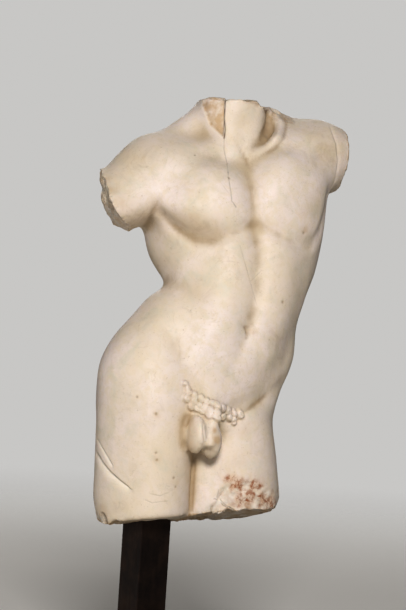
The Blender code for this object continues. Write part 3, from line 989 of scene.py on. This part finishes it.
def carve_creases(marks):
    for line, depth, width in CREASES.values():
        share = marks.press(marks.route(line), depth, width, fades=True)
        # Each crease is darkened with dirt and painted shade, the more the deeper it is
        marks.mark("dirt_and_shade", share * min(CREASE_DIRT_AND_SHADE, depth / DEEP_CREASE))


def carve_cracks(marks, routes):
    for name, (_, depth, width, dark) in CRACKS.items():
        share = marks.press(routes[name], depth, width)
        marks.mark("crack", share * dark * (0.75 + 0.5 * grain(marks.p, 0.006)))


def carve_ledges(marks, routes):
    for name, (_, depth, narrow, wide, pale) in LEDGES.items():
        share = marks.ledge(routes[name], depth, narrow, wide)
        marks.mark("chip", share * pale)


def carve_pits(marks, places):
    for (_, _, size), (point, _) in zip(PITS, places):
        share = spot(marks.p, point, size * PIXEL)
        marks.p -= marks.n * (share * PIT_DEPTH)[:, None]
        marks.mark("spot", share)


def carve_stains(marks):
    """Marks the stains, the broad patches of painted shade and the patina between the thighs."""
    uneven = 0.75 + 0.5 * grain(marks.p, 0.007)
    for x, y, size, amount in STAINS:
        share = spot(marks.p, marks.seen((x, y))[0], size * PIXEL)
        marks.mark("patina_and_shade", amount * share * uneven)
    # Broad patches of painted shade
    for x, y, size, amount in SHADE_PATCHES:
        share = spot(marks.p, marks.seen((x, y))[0], size * PIXEL)
        marks.mark("painted_shade", amount * share * (0.85 + 0.3 * uneven))
    between = np.exp(-((marks.u - 190) / 4.5) ** 2) * soft_step(375, 400, marks.v) * (marks.facing > 0)
    marks.mark("patina_and_shade", 0.5 * between * uneven)


def carve_left_chip(marks):
    """The rough broken area at the front of the left thigh, with its rusty stain."""
    inside = outline_depth(marks.u, marks.v, LEFT_CHIP)
    front = marks.facing > 0.05
    low = soft_step(476, 500, marks.v)
    edge = inside + 2 * grain(marks.p, 0.008)
    share = np.where(front, soft_step(-0.4, 12 - 9 * low, edge), 0)
    uneven = 0.0030 + 0.0024 * grain(marks.p, 0.013) + 0.0014 * grain(marks.p, 0.006)
    marks.p -= marks.n * (share * uneven)[:, None]
    marks.mark("fresh", share * low * 0.8)
    marks.mark("chip", share * (0.2 + 0.5 * low))
    stain = np.zeros(len(marks.p))
    for x, y, size in RUST_SPOTS:
        reach = np.hypot((marks.u - x) * 0.8, marks.v - y)
        stain = np.maximum(stain, np.exp(-((reach / size) ** 2)))
    uneven = 0.85 + 0.4 * grain(marks.p, 0.005) + 0.3 * grain(marks.p, 0.011)
    marks.mark("rust", np.where(front, stain * uneven, 0))


def carve_breaks(marks):
    """Marks the broken faces, roughens them and takes chips out of their rims."""
    right, up, back = (np.array(axis) for axis in marks.turn.col)
    for x, y, across, rise, near, radius in RIM_CHIPS:
        point, _ = marks.seen((x, y))
        centre = point + (right * across + up * rise + back * near) * PIXEL
        chipped = marks.scoop(centre, radius * PIXEL, 0.22)
        marks.mark("fresh", chipped * 1.0)
        marks.mark("chip", chipped * (0.5 + 0.7 * grain(marks.p, 0.006)))
    for name, (middle, _, faces, _, _, _) in BREAKS.items():
        start = on_body(middle)
        faces = np.array(faces, float) / np.linalg.norm(faces)
        way = on_body(np.array(middle) + faces * 20) - start
        way /= np.linalg.norm(way)
        over = (marks.p - start) @ way
        near = np.linalg.norm(marks.p - start, axis=1) < BREAK_REACH
        flat = near & (over > -BREAK_DEPTH) & (marks.n @ way > 0.5)
        rough, pale, stain_and_shade = BREAK_FINISH.get(name, PLAIN_BREAK)
        relief = sum(grain(marks.p, size) * height for size, height in BREAK_RELIEF)
        marks.p += marks.n * np.where(flat, relief * rough, 0)[:, None]
        marks.mark("fresh", flat * 1.0)
        marks.mark("chip", flat * pale * (0.8 + 0.6 * grain(marks.p, 0.007)))
        # The stain on the breaks; on the thighs' breaks, which face down, it is partly painted shade
        marks.mark("patina_and_shade", flat * stain_and_shade * (0.5 + 0.8 * grain(marks.p, 0.012)))


def hollows(marks):
    """Marks dirt and painted shade in the fine hollows of the finished skin, and painted shade in the broad
    hollows between the forms and on skin that faces down.
    """
    smooth = marks.p
    for name, (rounds, dip_rounds, dips) in HOLLOWS.items():
        smooth = averaged(smooth, marks.ends, rounds)
        dip = averaged(((smooth - marks.p) * marks.n).sum(1), marks.ends, dip_rounds)[:, 0]
        marks.mark(name, soft_step(*dips, dip))
    # Painted shade on skin that faces down
    under = averaged(marks.n, marks.ends, UNDERSIDE_SHADE_ROUNDS)[:, 2]
    marks.mark("painted_shade", UNDERSIDE_SHADE_STRENGTH * soft_step(*UNDERSIDE_SHADE, under))
    marks.value["painted_shade"] *= 1 - marks.value["chip"]


def carved_torso(settings):
    """The torso with a fine skin, carved and marked as the photograph shows it."""
    torso = plain_torso(settings.skin_step)
    coarse = Marks(torso.data)
    cracks = {name: coarse.route(line[0]) for name, line in CRACKS.items()}
    ledges = {name: coarse.route(line[0]) for name, line in LEDGES.items()}
    pits = [coarse.seen((x, y)) for x, y, _ in PITS]
    curls = [point for point, _, _ in curl_places(coarse)]
    lobes = [coarse.seen(pixel)[0] for pixel in LOBE_PIXELS]
    places = [(line, CRACK_REACH) for line in cracks.values()]
    places += [(line, LEDGE_REACH) for line in ledges.values()]
    places += [([point, point], PIT_REACH) for point, _ in pits]
    places += [([point, point], CURL_REACH) for point in curls]
    places += [([point, point], LOBE_REACH) for point in lobes]
    pixels = [chip[:2] for chip in RIM_CHIPS]
    pixels += [*NECK_PIXELS, *CHIP_PIXELS, *STUMP_PIXELS]
    rims = [coarse.seen(pixel)[0] for pixel in pixels]

    def fine(centres):
        return np.any([near_route(centres, line) < reach for line, reach in places], axis=0)

    def rough(centres):
        near = [np.linalg.norm(centres - rim, axis=1) < RIM_REACH for rim in rims]
        return np.any(near, axis=0) | fine(centres)

    def finest(centres):
        return np.any([near_route(centres, line) < CRACK_CORE for line in cracks.values()], axis=0)

    refine(torso.data, rough, 1)
    refine(torso.data, fine, settings.detail_rounds - 1)
    refine(torso.data, finest, 1)
    marks = Marks(torso.data)
    carve_wear(marks)
    carve_breaks(marks)
    carve_neck_top(marks)
    carve_corner(marks)
    carve_creases(marks)
    carve_neck(marks)
    carve_curls(marks)
    carve_ledges(marks, ledges)
    carve_cracks(marks, cracks)
    carve_pits(marks, pits)
    carve_stains(marks)
    carve_left_chip(marks)
    marks.p = np.clip(marks.p, CAD_BOX[0], CAD_BOX[1])
    set_coordinates(torso.data, marks.p)
    marks.n = normals(torso.data)
    hollows(marks)
    marks.store()
    for face in torso.data.polygons:
        face.use_smooth = True
    return torso


# Materials


def new_material(name):
    made = bpy.data.materials.new(name)
    made.use_nodes = True
    return made, made.node_tree, made.node_tree.nodes["Principled BSDF"]


def add_node(tree, kind, **settings):
    node = tree.nodes.new(kind)
    for name, value in settings.items():
        setattr(node, name, value)
    return node


def noise(tree, place, scale, detail=4.0, roughness=0.55, distortion=0.0):
    node = add_node(tree, "ShaderNodeTexNoise")
    node.inputs["Scale"].default_value = scale
    node.inputs["Detail"].default_value = detail
    node.inputs["Roughness"].default_value = roughness
    node.inputs["Distortion"].default_value = distortion
    tree.links.new(place, node.inputs["Vector"])
    return node.outputs["Fac"]


def ramp(tree, value, low, high):
    """Stretches the part of a value between low and high to the whole range."""
    node = add_node(tree, "ShaderNodeMapRange", interpolation_type="SMOOTHSTEP")
    node.inputs["From Min"].default_value = low
    node.inputs["From Max"].default_value = high
    tree.links.new(value, node.inputs["Value"])
    return node.outputs["Result"]


def math_node(tree, operation, *values):
    node = add_node(tree, "ShaderNodeMath", operation=operation)
    for socket, value in zip(node.inputs, values):
        if isinstance(value, (int, float)):
            socket.default_value = value
        else:
            tree.links.new(value, socket)
    return node.outputs["Value"]


def blend(tree, share, a, b):
    """Mixes two colours. Each may be a socket or a plain colour."""
    node = add_node(tree, "ShaderNodeMix", data_type="RGBA")
    for socket, value in ((node.inputs["Factor"], share), (node.inputs[6], a), (node.inputs[7], b)):
        if isinstance(value, (int, float)):
            socket.default_value = value
        elif isinstance(value, bpy.types.NodeSocket):
            tree.links.new(value, socket)
        else:
            socket.default_value = tuple(value)
    return node.outputs[2]


def tinted(tree, colour, mark, amount, tint):
    """Mixes a colour with a tint where a mark lies, up to this amount."""
    return blend(tree, math_node(tree, "MULTIPLY", mark, amount), colour, tint)


def attribute(tree, name):
    return add_node(tree, "ShaderNodeAttribute", attribute_name=name).outputs["Fac"]


def bump(tree, height, distance, before=None):
    node = add_node(tree, "ShaderNodeBump")
    node.inputs["Strength"].default_value = 1.0
    node.inputs["Distance"].default_value = distance
    tree.links.new(height, node.inputs["Height"])
    if before is not None:
        tree.links.new(before, node.inputs["Normal"])
    return node.outputs["Normal"]


def marble_material(settings):
    made, tree, shader = new_material("cream_marble")
    place = add_node(tree, "ShaderNodeTexCoord").outputs["Object"]
    broad = ramp(tree, noise(tree, place, 6.0, 3.0), 0.38, 0.66)
    cloud = ramp(tree, noise(tree, place, 24.0, 5.0, 0.6, 0.8), 0.46, 0.72)
    mottle = ramp(tree, noise(tree, place, 62.0, 8.0, 0.72, 0.6), 0.44, 0.62)
    grime_and_shade = ramp(tree, noise(tree, place, 34.0, 7.0, 0.72, 1.4), 0.48, 0.72)
    speck = ramp(tree, noise(tree, place, 300.0, 3.0, 0.6), 0.62, 0.76)
    painted_shade = attribute(tree, "painted_shade")
    colour = tinted(tree, settings.pale, broad, 0.75, settings.warm)
    colour = tinted(tree, colour, cloud, 0.80, settings.cool)
    colour = tinted(tree, colour, mottle, 0.55, settings.warm)
    # Painted shade: the broad hollows, the patches of shade and the skin that faces down turn darker and
    # yellower
    colour = tinted(tree, colour, painted_shade, 0.80, settings.painted_shade)
    # The brown grime is random, and grows stronger in the painted shade
    grime_and_shade = math_node(tree, "MULTIPLY", grime_and_shade, math_node(tree, "MULTIPLY_ADD", painted_shade, 0.22, 0.12))
    colour = blend(tree, grime_and_shade, colour, settings.shade_and_dirt_brown)
    colour = tinted(tree, colour, speck, 0.32, settings.shade_and_dirt_brown)
    wander = noise(tree, place, 13.0, 7.0, 0.6, 1.0)
    vein = math_node(tree, "MULTIPLY", ramp(tree, wander, 0.488, 0.5), ramp(tree, wander, 0.512, 0.5))
    vein = math_node(tree, "MULTIPLY", vein, ramp(tree, noise(tree, place, 26.0, 4.0), 0.45, 0.7))
    colour = tinted(tree, colour, vein, 0.15, settings.shade_and_dirt_brown)
    fresh = attribute(tree, "fresh")
    tint = math_node(tree, "MULTIPLY", fresh, ramp(tree, noise(tree, place, 70.0, 5.0), 0.42, 0.66))
    colour = tinted(tree, colour, tint, 0.45, settings.ochre)
    recess = attribute(tree, "recess")
    ochre = math_node(tree, "MULTIPLY", recess, ramp(tree, noise(tree, place, 90.0, 5.0), 0.25, 0.65))
    colour = tinted(tree, colour, ochre, 0.75, settings.ochre)
    colour = tinted(tree, colour, attribute(tree, "chip"), 0.55, settings.chip)
    # Old stains, and on the thighs' downward breaks partly painted shade
    colour = tinted(tree, colour, attribute(tree, "patina_and_shade"), 0.7, settings.ochre)
    # Dirt and painted shade in the fine hollows, the creases and between the curls
    colour = tinted(tree, colour, attribute(tree, "dirt_and_shade"), 0.55, settings.shade_and_dirt_brown)
    stain = attribute(tree, "rust")
    halo = ramp(tree, noise(tree, place, 60.0, 6.0, 0.65), 0.32, 0.58)
    halo = math_node(tree, "MULTIPLY", halo, math_node(tree, "MULTIPLY", stain, 0.75))
    colour = blend(tree, halo, colour, settings.blush)
    flecks = ramp(tree, noise(tree, place, 120.0, 8.0, 0.75, 0.4), 0.43, 0.60)
    flecks = math_node(tree, "MULTIPLY", ramp(tree, stain, 0.2, 0.85), flecks)
    colour = blend(tree, flecks, colour, settings.rust)
    colour = tinted(tree, colour, attribute(tree, "spot"), 0.65, settings.shade_and_dirt_brown)
    colour = blend(tree, attribute(tree, "crack"), colour, settings.crack)
    tree.links.new(colour, shader.inputs["Base Color"])
    dull = math_node(tree, "MULTIPLY_ADD", mottle, 0.16, settings.roughness)
    dull = math_node(tree, "ADD", dull, math_node(tree, "MULTIPLY", fresh, 0.3))
    tree.links.new(dull, shader.inputs["Roughness"])
    relief = bump(tree, noise(tree, place, 900.0, 3.0, 0.6), 0.00012)
    relief = bump(tree, noise(tree, place, 160.0, 4.0, 0.6), 0.0004, relief)
    coarse = math_node(tree, "MULTIPLY", noise(tree, place, 300.0, 5.0, 0.7), fresh)
    relief = bump(tree, coarse, 0.0020, relief)
    tree.links.new(relief, shader.inputs["Normal"])
    shader.inputs["Subsurface Weight"].default_value = settings.translucency
    shader.inputs["Subsurface Radius"].default_value = (1.0, 0.75, 0.5)
    shader.inputs["Subsurface Scale"].default_value = 0.006
    shader.inputs["IOR"].default_value = 1.45
    return made


def post_material(settings):
    made, tree, shader = new_material("blackened_bronze")
    place = add_node(tree, "ShaderNodeTexCoord").outputs["Object"]
    stretched = add_node(tree, "ShaderNodeMapping")
    stretched.inputs["Scale"].default_value = (1.0, 1.0, 0.12)
    tree.links.new(place, stretched.inputs["Vector"])
    streak = ramp(tree, noise(tree, stretched.outputs["Vector"], 160.0, 4.0, 0.6), 0.3, 0.7)
    patch = ramp(tree, noise(tree, place, 30.0, 5.0, 0.6), 0.35, 0.7)
    colour = blend(tree, patch, settings.post, settings.post_warm)
    colour = tinted(tree, colour, streak, 0.3, settings.post_warm)
    tree.links.new(colour, shader.inputs["Base Color"])
    shader.inputs["Metallic"].default_value = 0.85
    dull = math_node(tree, "MULTIPLY_ADD", streak, 0.18, 0.38)
    tree.links.new(dull, shader.inputs["Roughness"])
    tree.links.new(bump(tree, streak, 0.0001), shader.inputs["Normal"])
    return made


def stone_material(settings):
    made, tree, shader = new_material("dark_honed_stone")
    place = add_node(tree, "ShaderNodeTexCoord").outputs["Object"]
    cloud = ramp(tree, noise(tree, place, 14.0, 6.0, 0.6, 0.6), 0.35, 0.7)
    fleck = ramp(tree, noise(tree, place, 380.0, 4.0, 0.7), 0.58, 0.72)
    colour = blend(tree, cloud, settings.base, settings.base_light)
    colour = tinted(tree, colour, fleck, 0.35, settings.base_fleck)
    tree.links.new(colour, shader.inputs["Base Color"])
    dull = math_node(tree, "MULTIPLY_ADD", fleck, 0.15, 0.34)
    tree.links.new(dull, shader.inputs["Roughness"])
    tree.links.new(bump(tree, noise(tree, place, 500.0, 3.0), 0.00006), shader.inputs["Normal"])
    return made


def stage_material(settings):
    made, tree, shader = new_material("pale_floor")
    place = add_node(tree, "ShaderNodeTexCoord").outputs["Object"]
    soft = noise(tree, place, 1.2, 2.0)
    colour = blend(tree, soft, settings.floor, settings.floor_shade)
    tree.links.new(colour, shader.inputs["Base Color"])
    shader.inputs["Roughness"].default_value = 0.9
    shader.inputs["Specular IOR Level"].default_value = 0.1
    reach = add_node(tree, "ShaderNodeVectorMath", operation="LENGTH")
    tree.links.new(place, reach.inputs[0])
    mix = add_node(tree, "ShaderNodeMixShader")
    tree.links.new(ramp(tree, reach.outputs["Value"], *FLOOR_FADE), mix.inputs[0])
    tree.links.new(shader.outputs[0], mix.inputs[1])
    tree.links.new(add_node(tree, "ShaderNodeBsdfTransparent").outputs[0], mix.inputs[2])
    tree.links.new(mix.outputs[0], tree.nodes["Material Output"].inputs["Surface"])
    return made


# Settings


def colour_setting(name, words, default):
    return bpy.props.FloatVectorProperty(
        name=name, description=words, default=(*default, 1.0), size=4, subtype="COLOR", min=0, max=1
    )


def share_setting(name, words, default):
    return bpy.props.FloatProperty(
        name=name, description=words, default=default, min=0, max=1, subtype="FACTOR"
    )


def power_setting(name, words, default):
    return bpy.props.FloatProperty(name=name, description=words, default=default, min=0, unit="POWER")


class MarbleSettings(bpy.types.PropertyGroup):
    skin_step: bpy.props.FloatProperty(
        name="Skin step",
        description="Spacing of the mesh on the plain skin",
        default=0.0038,
        min=0.002,
        max=0.01,
        precision=4,
        unit="LENGTH",
    )
    detail_rounds: bpy.props.IntProperty(
        name="Detail rounds",
        description="How often the skin is split at fine carving",
        default=2,
        min=1,
        max=3,
    )
    pale: colour_setting("Pale marble", "The main colour of the marble", (0.84, 0.745, 0.70))
    warm: colour_setting("Warm marble", "Broad warm areas", (0.78, 0.675, 0.53))
    # The colour of the painted shade between the forms and under them
    painted_shade: colour_setting("Hollows", "The darker, yellower marble between the forms", (0.58, 0.47, 0.32))
    cool: colour_setting("Cool marble", "Faint cool clouds", (0.70, 0.645, 0.54))
    ochre: colour_setting("Ochre", "Old breaks and stains", (0.56, 0.38, 0.20))
    # Brown for the specks, veins and pits, and for the dirt and painted shade in the hollows and creases
    shade_and_dirt_brown: colour_setting("Brown patina", "Dirt in the hollows and specks", (0.33, 0.22, 0.12))
    rust: colour_setting("Rust", "The stained patch on the left thigh", (0.34, 0.13, 0.055))
    blush: colour_setting("Blush", "The pink edge of the rusty stain", (0.66, 0.43, 0.28))
    chip: colour_setting("Fresh chips", "Marble in later chips", (0.90, 0.86, 0.78))
    crack: colour_setting("Cracks", "Dark lines", (0.10, 0.06, 0.035))
    roughness: share_setting("Roughness", "How dull the worn polish is", 0.50)
    translucency: share_setting("Translucency", "How much of the light goes in", 0.15)


class MountSettings(bpy.types.PropertyGroup):
    post: colour_setting("Post", "Blackened metal of the post", (0.018, 0.013, 0.012))
    post_warm: colour_setting("Post, warm", "Warmer patches of the post", (0.050, 0.030, 0.022))
    base: colour_setting("Base", "Dark stone of the base", (0.030, 0.029, 0.028))
    base_light: colour_setting("Base, light", "Lighter clouds in the base", (0.055, 0.052, 0.050))
    base_fleck: colour_setting("Base, flecks", "Fine flecks in the base", (0.13, 0.125, 0.12))


class StageSettings(bpy.types.PropertyGroup):
    floor: colour_setting("Floor", "Pale floor", (0.80, 0.79, 0.775))
    floor_shade: colour_setting("Floor, shade", "Its slightly darker areas", (0.77, 0.76, 0.745))
    background: colour_setting("Background", "The plain room behind", (0.60, 0.595, 0.585))
    key_power: power_setting("Main light", "Power of the soft light beside the camera", 118)
    fill_power: power_setting("Fill light", "Power of the wide light from the left", 9)
    back_power: power_setting("Back light", "Power of the soft light behind the figure", 40)
    sky: bpy.props.FloatProperty(
        name="Room light", description="Strength of the light all round", default=0.03, min=0, max=2
    )


# Operators


class TORSO_OT_carve(bpy.types.Operator):
    """Carves the marble torso with its breaks, cracks, hair, chips and stains"""

    bl_idname = "torso.carve"
    bl_label = "Carve the torso"

    def execute(self, context):
        settings = context.scene.torso_marble
        torso = carved_torso(settings)
        torso.data.materials.clear()
        torso.data.materials.append(marble_material(settings))
        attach(torso, "root")
        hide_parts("torso")
        return {"FINISHED"}


class TORSO_OT_finish_post(bpy.types.Operator):
    """Gives the square post its blackened metal finish"""

    bl_idname = "torso.finish_post"
    bl_label = "Finish the post"

    def execute(self, context):
        dress(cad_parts["support_post"], post_material(context.scene.torso_mount))
        return {"FINISHED"}


class TORSO_OT_finish_base(bpy.types.Operator):
    """Gives the base block its honed stone finish"""

    bl_idname = "torso.finish_base"
    bl_label = "Finish the base"

    def execute(self, context):
        dress(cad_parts["base_block"], stone_material(context.scene.torso_mount))
        return {"FINISHED"}


class TORSO_OT_set_stage(bpy.types.Operator):
    """Sets the pale floor, the plain room, the soft lights and the camera"""

    bl_idname = "torso.set_stage"
    bl_label = "Set the stage"

    def execute(self, context):
        settings = context.scene.torso_stage
        studio_floor(settings)
        set_lights(context.scene, settings)
        set_camera(context.scene)
        return {"FINISHED"}


def dress(node, material):
    if not node.material_slots:
        raise RuntimeError("the node " + node.name + " has no material slot")
    for slot in node.material_slots:
        slot.material = material


def studio_floor(settings):
    """A round floor, whose rim fades into the plain background on every side."""
    bm = bmesh.new()
    bmesh.ops.create_circle(bm, cap_ends=True, segments=96, radius=FLOOR_RADIUS)
    mesh = bpy.data.meshes.new("studio_floor")
    bm.to_mesh(mesh)
    bm.free()
    floor = bpy.data.objects.new("studio_floor", mesh)
    bpy.context.scene.collection.objects.link(floor)
    floor.data.materials.append(stage_material(settings))
    return floor


def soft_light(name, power):
    """A square light that faces the middle of the figure."""
    turn, elevation, size, colour, distance = LIGHTS[name]
    a, e = math.radians(CAMERA_AZIMUTH + turn), math.radians(elevation)
    back = Vector((math.sin(a) * math.cos(e), -math.cos(a) * math.cos(e), math.sin(e)))
    data = bpy.data.lights.new(name, "AREA")
    data.energy = power
    data.size = size
    data.color = colour
    lamp = bpy.data.objects.new(name, data)
    lamp.location = Vector((0, 0, LIT_HEIGHT)) + back * distance
    lamp.rotation_mode = "QUATERNION"
    lamp.rotation_quaternion = (-back).to_track_quat("-Z", "Y")
    bpy.context.scene.collection.objects.link(lamp)


def set_lights(scene, settings):
    soft_light("main light", settings.key_power)
    soft_light("fill light", settings.fill_power)
    soft_light("back light", settings.back_power)
    world = bpy.data.worlds.new("room")
    world.use_nodes = True
    tree = world.node_tree
    dim = tree.nodes["Background"]
    dim.inputs["Color"].default_value = ROOM_LIGHT
    dim.inputs["Strength"].default_value = settings.sky
    plain = add_node(tree, "ShaderNodeBackground")
    plain.inputs["Color"].default_value = settings.background
    mix = add_node(tree, "ShaderNodeMixShader")
    tree.links.new(add_node(tree, "ShaderNodeLightPath").outputs["Is Camera Ray"], mix.inputs[0])
    tree.links.new(dim.outputs[0], mix.inputs[1])
    tree.links.new(plain.outputs[0], mix.inputs[2])
    tree.links.new(mix.outputs[0], tree.nodes["World Output"].inputs["Surface"])
    scene.world = world
    scene.view_settings.view_transform = "Standard"
    scene.view_settings.gamma = VIEW_GAMMA
    scene.view_settings.exposure = VIEW_EXPOSURE


def set_camera(scene):
    data = bpy.data.cameras.new("camera")
    data.sensor_width = 36
    data.lens = 36 * CAMERA_DISTANCE / (PHOTO_HEIGHT * PIXEL)
    camera = bpy.data.objects.new("camera", data)
    camera.location = camera_place()
    camera.rotation_mode = "QUATERNION"
    camera.rotation_quaternion = camera_turn().to_quaternion()
    scene.collection.objects.link(camera)
    scene.camera = camera


class TORSO_PT_panel(bpy.types.Panel):
    """Lists the steps and their settings"""

    bl_idname = "TORSO_PT_panel"
    bl_label = "Marble torso"
    bl_space_type = "VIEW_3D"
    bl_region_type = "UI"
    bl_category = "Torso"

    def draw(self, context):
        steps = (
            ("torso_marble", ("torso.carve",)),
            ("torso_mount", ("torso.finish_post", "torso.finish_base")),
            ("torso_stage", ("torso.set_stage",)),
        )
        for group, operators in steps:
            box = self.layout.box()
            settings = getattr(context.scene, group)
            for name in type(settings).__annotations__:
                box.prop(settings, name)
            for operator in operators:
                box.operator(operator)


CLASSES = (
    MarbleSettings,
    MountSettings,
    StageSettings,
    TORSO_OT_carve,
    TORSO_OT_finish_post,
    TORSO_OT_finish_base,
    TORSO_OT_set_stage,
    TORSO_PT_panel,
)


def register():
    for each in CLASSES:
        bpy.utils.register_class(each)
    bpy.types.Scene.torso_marble = bpy.props.PointerProperty(type=MarbleSettings)
    bpy.types.Scene.torso_mount = bpy.props.PointerProperty(type=MountSettings)
    bpy.types.Scene.torso_stage = bpy.props.PointerProperty(type=StageSettings)


def unregister():
    del bpy.types.Scene.torso_marble
    del bpy.types.Scene.torso_mount
    del bpy.types.Scene.torso_stage
    for each in reversed(CLASSES):
        bpy.utils.unregister_class(each)


def main():
    register()
    bpy.ops.torso.carve()
    bpy.ops.torso.finish_post()
    bpy.ops.torso.finish_base()
    bpy.ops.torso.set_stage()


if __name__ == "__main__":
    main()
